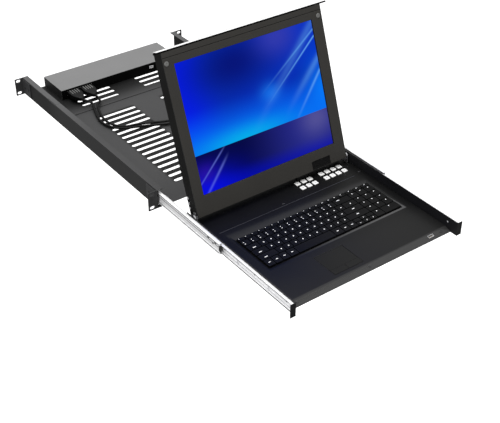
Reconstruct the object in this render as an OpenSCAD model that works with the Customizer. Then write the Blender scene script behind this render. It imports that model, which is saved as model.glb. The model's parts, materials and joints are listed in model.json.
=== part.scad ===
// Rack-mount console drawer: a 1U, 19 inch open tray with a sliding keyboard drawer,
// a fold-down flat display and a multi-computer switch box at the back.
// Millimetres. +X is the right-hand side, +Y is the back, +Z is up.
// The origin is the centre of the front rack-hole pattern, on the front face of the ears.
// The drawer is drawn pulled out and the display open.

/* [Rack] */
// Width across the rack ears
rack_w = 482.6; // [482.6:0.1:483.4]
// Height of the ears and of the tray, one rack unit less its clearance
rack_h = 43.8; // [43:0.1:44.4]
// Distance from the front ears to the rear ears
rack_depth = 612; // [600:1:700]
// Side-to-side distance between the rack holes
hole_pitch_x = 465.1; // [465.1:0.1:465.9]
// Height between the upper and the lower rack hole
hole_pitch_z = 31.75; // [31.7:0.05:31.8]
// Width of a slotted rack hole
slot_w = 7; // [6.5:0.1:7.2]
// End-to-end length of a slotted rack hole
slot_len = 11; // [9:0.5:11]
// Thickness of the ear plates
ear_t = 2; // [1.5:0.1:2.5]

/* [Tray] */
// Half the outer width of the tray
tray_half = 219.8; // [219:0.1:221]
// Sheet thickness
sheet = 1.2; // [1:0.1:1.2]
// Half the gap between the top flanges
flange_half = 206.4; // [206:0.1:208]
// Where the rear tray's front edge lies
seam_y = 440; // [438:1:446]
// Overlap of the two trays
lap = 38; // [20:1:50]
// Number of ventilation slots in one column
vent_rows = 16; // [8:1:16]
// Distance between ventilation slots
vent_pitch = 21.8; // [20:0.1:22]
// Width of a ventilation slot
vent_w = 9.6; // [6:0.1:10]

/* [Slides] */
// Travel of the drawer
travel = 436; // [400:1:436]
// Width that one slide takes up between tray and drawer
slide_w = 13.6; // [13.6:0.1:13.8]
// Height of the middle line of the slides above the tray's underside
slide_z = 22; // [21:0.1:23]
// Length of the outer members
outer_len = 432; // [420:1:433]
// Length of the middle members
middle_len = 440; // [400:1:440]
// Length of the inner members
inner_len = 424; // [400:1:430]

/* [Drawer] */
// Half the outer width of the drawer
drawer_half = 205; // [204:0.1:205]
// Height of the drawer's side walls above the tray's underside
drawer_top = 33.5; // [32:0.1:36]
// Depth of the drawer from its ears to its back wall
drawer_len = 348; // [345:1:350]
// Half the width across the drawer's ears
drawer_ear_half = 216; // [214:0.1:216.5]
// Height of the keyboard deck
deck_z = 11.2; // [11:0.1:11.4]
// Thickness of the deck
deck_t = 2; // [1.8:0.1:2]

/* [Keyboard] */
// Distance from one key to the next
key_pitch = 18; // [17.6:0.1:18]
// Gap between keys
key_gap = 1.6; // [1.2:0.1:2]
// Height of the key tops above the tray's underside
key_top = 12; // [11.9:0.1:12.2]
// Travel of a key
key_travel = 2; // [1.5:0.1:2]
// Side of a square menu or port button
button_w = 11.4; // [10:0.1:11.6]
// Travel of a menu or port button
button_travel = 1; // [0.5:0.1:1]

/* [Display] */
// Half the width of the display
display_half = 193.9; // [193:0.1:195]
// Height of the display from its bottom edge to its top edge
display_h = 337.6; // [335:0.1:338]
// Thickness of the display
display_t = 30; // [28:0.1:30.4]
// How far the open display leans back from upright
display_lean = 19.5; // [10:0.5:19.5]
// Width of the visible picture
picture_w = 337.9; // [337:0.1:338]
// Height of the visible picture
picture_h = 270.3; // [270:0.1:271]

/* [Switch box] */
// Half the width of the switch box
box_half = 164; // [160:1:166]
// Depth of the switch box
box_d = 91; // [85:1:95]
// Height of the switch box's top above the tray's underside
box_top = 28; // [27.5:0.1:30]
// Number of computer ports
port_count = 8; // [4:1:8]

/* [Hidden] */

$fn = 48;
slop = 0.01;
wide = 600;

// Frame heights: zero is the tray's underside until the whole part is lowered by mid_z.
mid_z = rack_h / 2;
floor_z = sheet;
rear_floor_z = 2 * sheet;
wall_in = tray_half - sheet;

// Slide section, measured inwards from the tray wall (u) and up from the middle line (v).
member_t = 1.2;
outer_v = 17.65;
middle_v = 12.8;
inner_v = 8.9;
middle_web_u = 5;
middle_flange_u = 3.2;
outer_reach_u = 9.6;
inner_flange_u = 7.8;
cage_t = 0.6;
big_ball_r = 1.75;
small_ball_r = 1.3;
slide_front = 4;

// Drawer, measured from its own ear plane.
drawer_floor = 3;
bevel_foot_y = 16.8;
bevel_top_y = 32.4;
deck_back_y = 344;
deck_low = deck_z - deck_t;
crease_y = 275.8;
board_z = 5;
board_t = 1.2;
bevel_foot_z = drawer_floor + sheet + 0.45;
bevel_tilt = atan((deck_z - bevel_foot_z) / (bevel_top_y - bevel_foot_y));

// Keyboard: six rows of keys with the number pad on the right. The front row is the
// deepest and the back row the shallowest.
key_rows = 6;
main_w = 277;
pad_key = 21.7;
keys_w = main_w + 3 * pad_key;
keys_x = -162;
keys_front_y = 132.5;
front_row_depth = 22.2;
row_depth = 18.7;
back_row_depth = 11;
keys_d = front_row_depth + (key_rows - 2) * row_depth + back_row_depth;
key_h = 2.4;
stem_w = 4;
stem_z = drawer_floor + sheet + key_travel + 0.2;
plate_t = 1;
plate_z = key_top - key_h - key_travel - plate_t - 0.4;
recess_low = plate_z + plate_t + 0.2;
bevel_bottom = recess_low + 1;
// Key widths, row by row from the back. Each row's wide end keys fill the block.
function row_of(first, count) =
    [first, for (i = [1:count]) key_pitch, main_w - first - count * key_pitch];
back_keys = 17;
pads = [pad_key, pad_key, pad_key];
row_1 = concat([for (i = [1:back_keys]) main_w / back_keys], pads);
row_2 = concat(row_of(19.1, 12), pads);
row_3 = concat(row_of(28, 12), pads);
row_4 = concat(row_of(33.1, 11), pads);
row_5 = concat(row_of(42.5, 10), pads);
row_6_left = [18, 18, 18, 20];
row_6_right = [22, 18, 18, 17, 17, 17, pad_key, 2 * pad_key];
space_at = 74;
space_w = main_w - space_at - 109;

// Menu and port buttons, two rows of each.
button_pitch_x = 16.45;
button_back_y = 322.6;
button_front_y = 304;
menu_x = 58.2;
port_x = 123.2;
button_top = 12.8;
button_lip = 0.9;
button_foot = deck_low - button_lip - 0.1;

// Touchpad, set into the palm rest.
pad_x = -42;
pad_w = 70;
pad_back_y = 104;
pad_d = 48;
pad_button_d = 15;
pad_gap = 0.6;
pad_t = 2.4;
pad_sink = 0.3;

// Hinge, in drawer measures, and the display's own corner relative to it.
hinge_y = 332.9;
hinge_z = 24.35;
closed_face_z = 13.4;
hinge_n = hinge_z - closed_face_z;
pin_r = 3;
pin_play = 0.05;
knuckle_r = 5.5;
bracket_x = 198.4;
bracket_t = 2;
arm_t = 2;
arm_x = display_half - 1.7 - arm_t;
arm_top = 46;

// Display skin, window and trim.
skin = 1.5;
bezel_t = 3;
groove_s = 325;
picture_x = -1.8;
picture_s = 40;
strip_t = 1.2;
bezel_top = display_h - strip_t;
lip_half = 210.3;
lip_out = 2;
lip_t = 1.5;
panel_margin = 9;
panel_t = 8;
bumper_s = 314;
bumper_t = 1.2;

// Switch box.
box_y = rack_depth - box_d;
box_skin = 1;
port_pitch = 34;
port_z = 16.5;
console_x = [-134, -98];
inlet_x = 146;
rocker_x = 122;
rocker_z = 16;
cable_r = 2.3;

module lowered() { translate([0, 0, -mid_z]) children(); }
module both_sides() { children(); mirror([1, 0, 0]) children(); }
module in_drawer() { lowered() translate([0, -travel, 0]) children(); }
module in_middle() { lowered() translate([0, -travel / 2, 0]) children(); }
module on_bevel() {
    in_drawer() translate([0, bevel_top_y, deck_z]) rotate([bevel_tilt, 0, 0]) children();
}
// Display measures: x across, y from the picture side to the back, z up from the bottom edge.
module in_display() {
    in_drawer() translate([0, hinge_y, hinge_z]) rotate([-display_lean, 0, 0])
        translate([0, -hinge_n, 0]) children();
}

// A box given by its lowest and highest corners.
module block(low, high) { translate(low) cube(high - low); }
// A slot along X, cut along Z.
module slot_x(length, width, depth) {
    half = (length - width) / 2;
    translate([0, 0, depth / 2]) cube([2 * half, width, depth], center = true);
    for (x = [-half, half]) translate([x, 0, 0]) cylinder(r = width / 2, h = depth);
}
// A profile in the YZ plane, drawn as [y, z] points and stretched along X.
module along_x(low_x, high_x) {
    translate([low_x, 0, 0]) rotate([90, 0, 90]) linear_extrude(high_x - low_x) children();
}

// ---------------------------------------------------------------- rack tray

// Middle and length of the floor slots, in two columns either side of the centre.
vent_x = 86.6;
vent_len = 101;
module vent_column(x, first_y, rows, length) {
    for (i = [0:rows - 1]) translate([x, first_y + i * vent_pitch, -1])
        slot_x(length, vent_w, 2 * rear_floor_z);
}

module front_tray() {
    first_vent_y = 65.5;
    hole_x = [-136, 38];
    color("dimgray") lowered() difference() {
        union() {
            block([-tray_half, 0, 0], [tray_half, seam_y + lap, floor_z]);
            both_sides() {
                block([wall_in, 0, 0], [tray_half, seam_y + lap, rack_h - sheet]);
                block([flange_half, 0, rack_h - sheet], [tray_half, seam_y, rack_h]);
            }
        }
        vent_column(-vent_x, first_vent_y, vent_rows, vent_len);
        vent_column(vent_x, first_vent_y, vent_rows, vent_len);
        rear_vents();
        for (x = hole_x) translate([x, 392, -1]) cylinder(r = 2.2, h = rear_floor_z + 2);
        ear_screw_holes(front_screw_y());
    }
}

module rear_vents() {
    for (side = [-1, 1]) vent_column(side * vent_x, 471, 3, vent_len);
}

module rear_tray() {
    color("dimgray") lowered() difference() {
        union() {
            block([-wall_in, seam_y, floor_z], [wall_in, rack_depth, rear_floor_z]);
            both_sides() {
                block([wall_in - sheet, seam_y, floor_z], [wall_in, rack_depth, rack_h]);
                block([flange_half, seam_y + 0.4, rack_h - sheet], [wall_in, rack_depth, rack_h]);
                block([wall_in - slop, seam_y + lap + 0.4, 0],
                    [tray_half, rack_depth, rack_h]);
            }
        }
        rear_vents();
        ear_screw_holes(rear_screw_y());
    }
}

function front_screw_y() = [14, 30];
function rear_screw_y() = [rack_depth - 30, rack_depth - 14];
ear_screw_z = 22;

module ear_screw_holes(places) {
    both_sides() for (y = places) translate([tray_half - 6, y, ear_screw_z])
        rotate([0, 90, 0]) cylinder(r = 2.05, h = 12);
}

// One L-shaped ear: a slotted plate at plate_y and a leg along the tray wall.
module rack_ear(plate_y, leg_low, leg_high) {
    difference() {
        union() {
            block([tray_half, plate_y, 0], [rack_w / 2, plate_y + ear_t, rack_h]);
            block([tray_half, leg_low, 3], [tray_half + ear_t, leg_high, rack_h - 3]);
        }
        for (z = [-1, 1]) translate([hole_pitch_x / 2, plate_y + ear_t + 1,
            mid_z + z * hole_pitch_z / 2]) rotate([90, 0, 0])
                slot_x(slot_len, slot_w, ear_t + 2);
    }
}

module front_rack_ears() {
    color("black") lowered() difference() {
        both_sides() rack_ear(0, 0, 40);
        ear_screw_holes(front_screw_y());
    }
}

module rear_rack_ears() {
    color("black") lowered() difference() {
        both_sides() rack_ear(rack_depth - ear_t, rack_depth - 40, rack_depth);
        ear_screw_holes(rear_screw_y());
    }
}

module chassis_screws() {
    head_r = 3.6;
    head_h = 1.6;
    shank_r = 1.9;
    shank_len = 4.1;
    color("silver") lowered() both_sides() for (y = concat(front_screw_y(), rear_screw_y()))
        translate([tray_half + ear_t, y, ear_screw_z]) rotate([0, 90, 0]) difference() {
            union() {
                cylinder(r = head_r, h = head_h);
                translate([0, 0, 1 - shank_len]) cylinder(r = shank_r, h = shank_len);
            }
            for (a = [0, 90]) rotate([0, 0, a]) translate([0, 0, head_h])
                cube([3.6, 0.7, 1.6], center = true);
        }
}

// ---------------------------------------------------------------- slides

// Places a slide section against the right-hand tray wall: u runs inwards, v runs up.
module on_wall(from_y, length) {
    translate([wall_in, from_y + length, slide_z]) rotate([90, 0, 0])
        linear_extrude(length) mirror([1, 0]) children();
}
module strip_2d(u_low, u_high, v_low, v_high) {
    translate([u_low, v_low]) square([u_high - u_low, v_high - v_low]);
}
module channel_2d(web_u, u_low, u_high, v) {
    strip_2d(web_u, web_u + member_t, -v, v);
    strip_2d(u_low, u_high, v - member_t, v);
    strip_2d(u_low, u_high, -v, -v + member_t);
}

module slide_outer() {
    on_wall(slide_front, outer_len) channel_2d(0, 0, outer_reach_u, outer_v);
}
module slide_middle() {
    hole_r = 3;
    difference() {
        on_wall(slide_front - 1, middle_len)
            channel_2d(middle_web_u, middle_flange_u, outer_reach_u, middle_v);
        for (y = [28, middle_len - 26]) translate([wall_in - slide_w, y, slide_z])
            rotate([0, 90, 0]) cylinder(r = hole_r, h = slide_w);
    }
}
module slide_inner() {
    difference() {
        on_wall(slide_front, inner_len)
            channel_2d(slide_w - member_t, inner_flange_u, slide_w, inner_v);
        for (y = [24, 120, 216, 312]) translate([drawer_half - 1, y, slide_z])
            rotate([0, 90, 0]) cylinder(r = 2.4, h = 4);
    }
}

module slide_outer_left() { color("silver") lowered() mirror([1, 0, 0]) slide_outer(); }
module slide_outer_right() { color("silver") lowered() slide_outer(); }
module slide_middle_left() { color("gainsboro") in_middle() mirror([1, 0, 0]) slide_middle(); }
module slide_middle_right() { color("gainsboro") in_middle() slide_middle(); }
module slide_inners() { color("silver") in_drawer() both_sides() slide_inner(); }

// A ball cage: a thin channel with a row of balls above and a row below.
module ball_cage(from_y, length, web_u, reach_u, ball_u, ball_v, ball_r, balls) {
    half_t = cage_t / 2;
    on_wall(from_y, length) {
        strip_2d(web_u, web_u + cage_t, -ball_v - half_t, ball_v + half_t);
        for (side = [-1, 1])
            strip_2d(web_u, reach_u, side * ball_v - half_t, side * ball_v + half_t);
    }
    for (side = [-1, 1], i = [0:balls - 1])
        translate([wall_in - ball_u, from_y + length * (i + 0.5) / balls,
            slide_z + side * ball_v]) sphere(r = ball_r, $fn = 24);
}

module ball_cages_outer() {
    gap_mid_v = (outer_v - member_t + middle_v) / 2;
    color("goldenrod") lowered() translate([0, -travel / 4, 0]) both_sides()
        ball_cage(slide_front + 110, 200, 1.7, 8.6, 6.4, gap_mid_v, big_ball_r, 6);
}
module ball_cages_inner() {
    gap_mid_v = (middle_v - member_t + inner_v) / 2;
    color("goldenrod") lowered() translate([0, -travel * 3 / 4, 0]) both_sides()
        ball_cage(slide_front + 110, 200, 6.6, 11.4, 8.7, gap_mid_v, small_ball_r, 6);
}

// ---------------------------------------------------------------- switch box

module switch_case() {
    color("black") lowered() difference() {
        union() {
            block([-box_half + box_skin, box_y, rear_floor_z],
                [box_half - box_skin, rack_depth, rear_floor_z + box_skin]);
            for (y = [box_y, rack_depth - box_skin])
                block([-box_half + box_skin, y, rear_floor_z],
                    [box_half - box_skin, y + box_skin, box_top - box_skin]);
        }
        for (i = [0:port_count - 1]) translate([port_at(i), rack_depth - 2, port_z - 4.6])
            translate([-8.8, 0, 0]) cube([17.6, 4, 9.2]);
        for (x = console_x) translate([x - 8.8, box_y - 1, port_z - 4.6]) cube([17.6, 4, 9.2]);
        translate([inlet_x - 4.7, rack_depth - 2, port_z - 5.7]) cube([9.4, 4, 11.4]);
        translate([rocker_x - 7, rack_depth - 2, rocker_z - 5]) cube([14, 4, 10]);
        translate([84, box_y - 1, port_z - 3.5]) cube([12, 4, 7]);
    }
}

module switch_cover() {
    foot = rear_floor_z + 0.2;
    color("gray") lowered() {
        block([-box_half, box_y - 0.5, box_top - box_skin], [box_half, rack_depth, box_top]);
        both_sides() block([box_half - box_skin + slop, box_y - 0.5, foot],
            [box_half, rack_depth, box_top]);
    }
}

module switch_board() {
    board_low = rear_floor_z + box_skin + 3;
    chip_h = 1.6;
    color("darkgreen") lowered() {
        block([-box_half + 6, box_y + 4, board_low], [box_half - 6, rack_depth - 18, board_low + 1.6]);
        for (x = [-120, -60, 0, 60, 110]) translate([x, box_y + 34, board_low + 1.6 + chip_h / 2])
            cube([20, 20, chip_h], center = true);
        for (x = [-150, 150], y = [box_y + 10, rack_depth - 26])
            translate([x, y, rear_floor_z + box_skin]) cylinder(r = 3, h = 3 + slop);
    }
}

function port_at(i) = -144 + i * port_pitch;

// The D-shaped outline of a 15-pin video connector.
module d_outline(width, height) {
    slant = 1.4;
    polygon([[-width / 2, height / 2], [width / 2, height / 2],
        [width / 2 - slant, -height / 2], [-width / 2 + slant, -height / 2]]);
}
// A video socket that faces along +Y, with its flange on the panel at y = 0.
module video_socket() {
    rotate([-90, 0, 0]) difference() {
        union() {
            translate([-15.4, -6.2, 0]) cube([30.8, 12.4, 0.8]);
            mirror([0, 1, 0]) linear_extrude(6.2) d_outline(16.9, 8.4);
            for (x = [-12.4, 12.4]) translate([x, 0, 0]) cylinder(r = 2.6, h = 5, $fn = 6);
        }
        mirror([0, 1, 0]) translate([0, 0, 2.4]) linear_extrude(6) d_outline(15.7, 7.2);
    }
}
module host_ports() {
    color("silver") lowered() for (i = [0:port_count - 1])
        translate([port_at(i), rack_depth, port_z]) video_socket();
}
module console_sockets() {
    color("silver") lowered() {
        for (x = console_x) translate([x, box_y, port_z]) mirror([0, 1, 0]) video_socket();
        translate([90, box_y, port_z]) difference() {
            translate([-5.8, -0.8, -3.3]) cube([11.6, 9, 6.6]);
            translate([-5, -1.8, -2.5]) cube([10, 7, 5]);
        }
    }
}

module power_inlet() {
    color("black") lowered() translate([inlet_x, rack_depth, port_z]) difference() {
        union() {
            translate([-4.5, -12, -5.5]) cube([9, 12.8, 11]);
            translate([-5.6, 0.02, -6.4]) cube([11.2, 1, 12.8]);
        }
        rotate([90, 0, 0]) translate([0, 0, -2]) cylinder(r = 3.2, h = 11);
    }
}

// The rocker turns on two round pins on a line through its middle, across the box.
module power_rocker() {
    half = 6.2;
    pin_half = 6.8;
    color("darkred") lowered() translate([rocker_x, rack_depth - 1, rocker_z]) {
        along_x(-half, half) polygon([[-5, -1.5], [-5, 1.5], [1.6, 4.2], [3, 3.6], [2.2, 0],
            [3, -3.6], [1.6, -4.2]]);
        translate([-pin_half, 0, 0]) rotate([0, 90, 0]) cylinder(r = 1.2, h = 2 * pin_half);
    }
}

// Two leads run forward from the switch box, swing to the middle and enter the drawer's back.
function bend(t, a, b, c, d) = pow(1 - t, 3) * a + 3 * pow(1 - t, 2) * t * b
    + 3 * (1 - t) * t * t * c + t * t * t * d;
module lead(points, steps) {
    for (i = [0:steps - 1]) hull() for (k = [i, i + 1]) translate(
        bend(k / steps, points[0], points[1], points[2], points[3])) sphere(r = cable_r, $fn = 8);
}
module console_cable() {
    plug_y = box_y - 30;
    low = floor_z + cable_r + 2.5;
    rise = drawer_floor + sheet + cable_r + 0.2;
    inside_y = drawer_len - travel - 11;
    color("black") lowered() for (k = [0, 1]) {
        x = console_x[k];
        turn = [-141 + 13 * k, 372 + 4 * k, low + 3 * k];
        middle = [-26, 266 + 12 * k, low + 3 * k];
        translate([x, 0, 0]) block([-8, plug_y, port_z - 5.2], [8, box_y - 7, port_z + 5.2]);
        lead([[x, plug_y + 1, port_z], [x, plug_y - 40, port_z], [turn[0], 440, low + 3 * k],
            turn], 10);
        lead([turn, [turn[0] - 2, 330, low + 3 * k], [turn[0] + 40, 280 + 12 * k, low + 3 * k],
            middle], 10);
        lead([middle, [40, 250 + 12 * k, low + 3 * k], [60 + 8 * k, 210, low + 3 * k],
            [60 + 8 * k, 150, low + 3 * k]], 8);
        lead([[60 + 8 * k, 150, low + 3 * k], [60 + 8 * k, 90, low + 3 * k],
            [60 + 8 * k, 20, rise], [60 + 8 * k, inside_y, rise]], 8);
    }
}

// ---------------------------------------------------------------- drawer

module drawer_tray() {
    top = drawer_floor + sheet;
    color("black") in_drawer() difference() {
        union() {
            block([-drawer_half, bevel_foot_y, drawer_floor], [drawer_half, drawer_len, top]);
            block([-drawer_half, drawer_len - sheet, drawer_floor],
                [drawer_half, drawer_len, deck_z]);
            both_sides() {
                block([drawer_half - sheet, 0, drawer_floor], [drawer_half, drawer_len, drawer_top]);
                block([drawer_half - sheet, 0, drawer_floor],
                    [drawer_ear_half, sheet + 0.3, drawer_top]);
            }
        }
        both_sides() translate([drawer_half - 4, 27.7, 22]) rotate([0, 90, 0])
            cylinder(r = 2.4, h = 8);
        block([50, drawer_len - 3, top + slop], [80, drawer_len + 3, deck_z + 1]);
    }
}

module deck_profile() {
    foot = drawer_floor + sheet + 0.05;
    polygon([[deck_back_y, deck_z], [bevel_top_y, deck_z], [bevel_foot_y, bevel_foot_z],
        [bevel_foot_y, foot], [bevel_foot_y + 3.6, foot], [bevel_top_y + 0.8, deck_low],
        [deck_back_y, deck_low]]);
}
// Mitred recess round the keys: the overlap of a prism along X and a prism along Y.
module key_recess() {
    rise = deck_z - bevel_bottom + 0.1;
    back_run = 18;
    front_run = 10;
    side_run = 7;
    front = keys_front_y - 1;
    back = keys_front_y + keys_d + 1;
    left = keys_x - 1;
    right = keys_x + keys_w + 1;
    intersection() {
        along_x(left - side_run, right + side_run)
            polygon([[front, bevel_bottom - 0.1], [back, bevel_bottom - 0.1],
                [back, bevel_bottom], [back + back_run, bevel_bottom + rise],
                [front - front_run, bevel_bottom + rise], [front, bevel_bottom]]);
        translate([0, wide / 2, 0]) rotate([90, 0, 0]) linear_extrude(wide / 2)
            polygon([[left, bevel_bottom - 0.1], [right, bevel_bottom - 0.1],
                [right, bevel_bottom], [right + side_run, bevel_bottom + rise],
                [left - side_run, bevel_bottom + rise], [left, bevel_bottom]]);
    }
    block([left, front, recess_low - 1], [right, back, bevel_bottom]);
}
module keyboard_deck() {
    half = drawer_half - sheet - 0.3;
    rim = 12;
    back_rim = 24;
    hole = button_w + 0.6;
    crease_half = 177;
    color([0.13, 0.13, 0.15]) difference() {
        in_drawer() difference() {
            union() {
                along_x(-half, half) deck_profile();
                block([keys_x - rim, keys_front_y - rim, recess_low],
                    [keys_x + keys_w + rim, keys_front_y + keys_d + back_rim, deck_low + slop]);
            }
            key_recess();
            for (i = [0:13]) translate([button_x(i), button_y(i), deck_z - deck_t / 2])
                cube([hole, hole, 2 * deck_t], center = true);
            block([-crease_half, crease_y - 0.5, deck_z - 0.6],
                [crease_half, crease_y + 0.5, deck_z + 1]);
            both_sides() block([bracket_x - 1.4, hinge_y - 11, recess_low],
                [drawer_half, drawer_len, deck_z + 1]);
            block([pad_x - pad_w / 2 - pad_gap, pad_front_y() - pad_gap, recess_low],
                [pad_x + pad_w / 2 + pad_gap, pad_back_y + pad_gap, deck_z + 1]);
        }
        on_bevel() for (x = screw_xs()) translate([x, bevel_mid, -10]) cylinder(r = 1.6, h = 20);
        on_bevel() translate([usb_x, bevel_mid, 0]) cube([14.4, 6.8, 40], center = true);
    }
}

// Front edge of the touchpad's two buttons.
function pad_front_y() = pad_back_y - pad_d - pad_gap - pad_button_d;
function screw_xs() = [-181, -4, 184];
usb_x = 157;
bevel_mid = -8;

module deck_screws() {
    color("silver") on_bevel() for (x = screw_xs()) translate([x, bevel_mid, 0]) difference() {
        union() {
            cylinder(r = 2.7, h = 1.1);
            translate([0, 0, -1.4]) cylinder(r = 1.5, h = 1.6);
        }
        for (a = [0, 90]) rotate([0, 0, a]) translate([0, 0, 1.1])
            cube([2.8, 0.6, 1.2], center = true);
    }
}

module front_usb_socket() {
    color("silver") on_bevel() translate([usb_x, bevel_mid, 0]) difference() {
        block([-6.9, -3.1, -2.3], [6.9, 3.1, 0.5]);
        block([-6.2, -2.5, -1.7], [6.2, 2.5, 1]);
    }
}

module key_plate() {
    post_r = 2;
    post_in = 3.4;
    hole = stem_w + 1.2;
    color("gray") in_drawer() {
        difference() {
            block([keys_x - 6, keys_front_y - 6, plate_z],
                [keys_x + keys_w + 6, keys_front_y + keys_d + 6, plate_z + plate_t]);
            for (r = [1:key_rows]) each_key(r) translate([$key_w / 2, $key_d / 2, plate_z])
                cube([hole, hole, 3 * plate_t], center = true);
            translate([keys_x + space_at + space_w / 2, keys_front_y + front_row_depth / 2, plate_z])
                cube([hole, hole, 3 * plate_t], center = true);
        }
        for (x = [keys_x, keys_x + keys_w / 2, keys_x + keys_w], y = [-post_in, keys_d + post_in])
            translate([x, keys_front_y + y, drawer_floor + sheet])
                cylinder(r = post_r, h = plate_z - drawer_floor - sheet + slop);
    }
}

// Total width of the keys before key i in a row.
function before(widths, i) = i == 0 ? 0 : widths[i - 1] + before(widths, i - 1);
function row_widths(r) = r == 1 ? row_1 : r == 2 ? row_2 : r == 3 ? row_3 : r == 4 ? row_4
    : r == 5 ? row_5 : concat(row_6_left, row_6_right);
// The three arrow places of the front row are each split into two half-deep keys.
function is_split(r, i) = r == 6 && i >= 7 && i <= 9;
function depth_of(r) = r == 6 ? front_row_depth : r == 1 ? back_row_depth : row_depth;
function row_y(r) = r == 6 ? keys_front_y : row_y(r + 1) + depth_of(r + 1);

// Visits the lower-left corner of each key of row r with $key_w and $key_d set.
module each_key(r) {
    widths = row_widths(r);
    full = depth_of(r);
    for (i = [0:len(widths) - 1]) {
        skip = r == 6 && i >= len(row_6_left) ? space_w : 0;
        $key_w = widths[i];
        $key_d = is_split(r, i) ? full / 2 : full;
        for (y = [0:$key_d:full - 1])
            translate([keys_x + before(widths, i) + skip, row_y(r) + y, 0]) children();
    }
}
module key_cap(width, depth) {
    half = key_gap / 2;
    block([half, half, key_top - key_h], [width - half, depth - half, key_top]);
    translate([width / 2 - stem_w / 2, depth / 2 - stem_w / 2, stem_z])
        cube([stem_w, stem_w, key_top - key_h - stem_z + slop]);
}
module keys_row(r) { color([0.08, 0.08, 0.09]) in_drawer() each_key(r) key_cap($key_w, $key_d); }
module keys_row_1() { keys_row(1); }
module keys_row_2() { keys_row(2); }
module keys_row_3() { keys_row(3); }
module keys_row_4() { keys_row(4); }
module keys_row_5() { keys_row(5); }
module keys_row_6() { keys_row(6); }
module space_bar() {
    color([0.08, 0.08, 0.09]) in_drawer()
        translate([keys_x + space_at, keys_front_y, 0]) key_cap(space_w, front_row_depth);
}

// Buttons 0 to 5 are the menu buttons and 6 to 13 the port buttons, back row first.
function button_x(i) = i < 6 ? menu_x + (i % 3) * button_pitch_x
    : port_x + ((i - 6) % 4) * button_pitch_x;
function button_y(i) = (i < 6 ? i < 3 : i < 10) ? button_back_y : button_front_y;

module square_button(i) {
    color("white") in_drawer() translate([button_x(i), button_y(i), 0]) {
        block([-button_w / 2, -button_w / 2, button_foot], [button_w / 2, button_w / 2, button_top]);
        lip = button_w / 2 + button_lip;
        block([-lip, -lip, button_foot], [lip, lip, button_foot + button_lip]);
    }
}
module menu_button_1() { square_button(0); }
module menu_button_2() { square_button(1); }
module menu_button_3() { square_button(2); }
module menu_button_4() { square_button(3); }
module menu_button_5() { square_button(4); }
module menu_button_6() { square_button(5); }
module port_button_1() { square_button(6); }
module port_button_2() { square_button(7); }
module port_button_3() { square_button(8); }
module port_button_4() { square_button(9); }
module port_button_5() { square_button(10); }
module port_button_6() { square_button(11); }
module port_button_7() { square_button(12); }
module port_button_8() { square_button(13); }

module control_board() {
    switch_top = button_foot - button_travel - 0.1;
    margin = 12;
    post_in = 8;
    switch_half = 3;
    last_x = port_x + 3 * button_pitch_x;
    color("darkgreen") in_drawer() {
        block([menu_x - margin, button_front_y - margin, board_z],
            [last_x + margin, button_back_y + margin, board_z + board_t]);
        for (i = [0:13]) translate([button_x(i), button_y(i), 0])
            block([-switch_half, -switch_half, board_z + board_t - slop],
                [switch_half, switch_half, switch_top]);
        for (x = [menu_x - post_in, last_x + post_in], y = [button_front_y, button_back_y])
            translate([x, y, drawer_floor + sheet])
                cylinder(r = 2, h = board_z - drawer_floor - sheet + slop);
    }
}

module touchpad() {
    color([0.1, 0.1, 0.11]) in_drawer()
        block([pad_x - pad_w / 2, pad_back_y - pad_d, deck_z - pad_sink - pad_t],
            [pad_x + pad_w / 2, pad_back_y, deck_z - pad_sink]);
}
module touchpad_button(side) {
    half = pad_w / 2;
    proud = 0.2;
    low = side < 0 ? -half : pad_gap / 2;
    color([0.1, 0.1, 0.11]) in_drawer()
        block([pad_x + low, pad_front_y(), deck_z - pad_t],
            [pad_x + low + half - pad_gap / 2, pad_front_y() + pad_button_d, deck_z + proud]);
}
module touchpad_button_left() { touchpad_button(-1); }
module touchpad_button_right() { touchpad_button(1); }

// Fixed hinge leaves stand on the drawer floor and hold the display's pins.
module hinge_brackets() {
    foot = drawer_floor + sheet;
    eye_r = 8;
    toe = 9;
    color("silver") in_drawer() both_sides() difference() {
        union() {
            block([bracket_x, hinge_y - eye_r, foot],
                [bracket_x + bracket_t, hinge_y + eye_r, hinge_z]);
            block([bracket_x - toe, hinge_y - eye_r, foot],
                [bracket_x + bracket_t, hinge_y + eye_r, foot + bracket_t]);
            translate([bracket_x, hinge_y, hinge_z]) rotate([0, 90, 0])
                cylinder(r = eye_r, h = bracket_t);
        }
        translate([bracket_x - 1, hinge_y, hinge_z]) rotate([0, 90, 0])
            cylinder(r = pin_r + pin_play, h = bracket_t + 2);
    }
}

// ---------------------------------------------------------------- display

// Each arm is an inner plate, a knuckle, a pin and a thin bar that shows beside the display.
module hinge_arms() {
    outer_x = bracket_x - 2.2;
    pin_end = bracket_x + bracket_t + 1.2;
    color("silver") in_display() both_sides() difference() {
        union() {
            block([arm_x, bezel_t + 0.2, skin + 0.2],
                [arm_x + arm_t, display_t - skin - 0.3, arm_top]);
            block([display_half + 0.2, 6, -7], [outer_x, 12, 12]);
            translate([arm_x, hinge_n, 0]) rotate([0, 90, 0])
                cylinder(r = knuckle_r, h = outer_x - arm_x);
            translate([outer_x - 1, hinge_n, 0]) rotate([0, 90, 0])
                cylinder(r = pin_r, h = pin_end - outer_x + 1);
        }
        hinge_screw_holes();
    }
}
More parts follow.
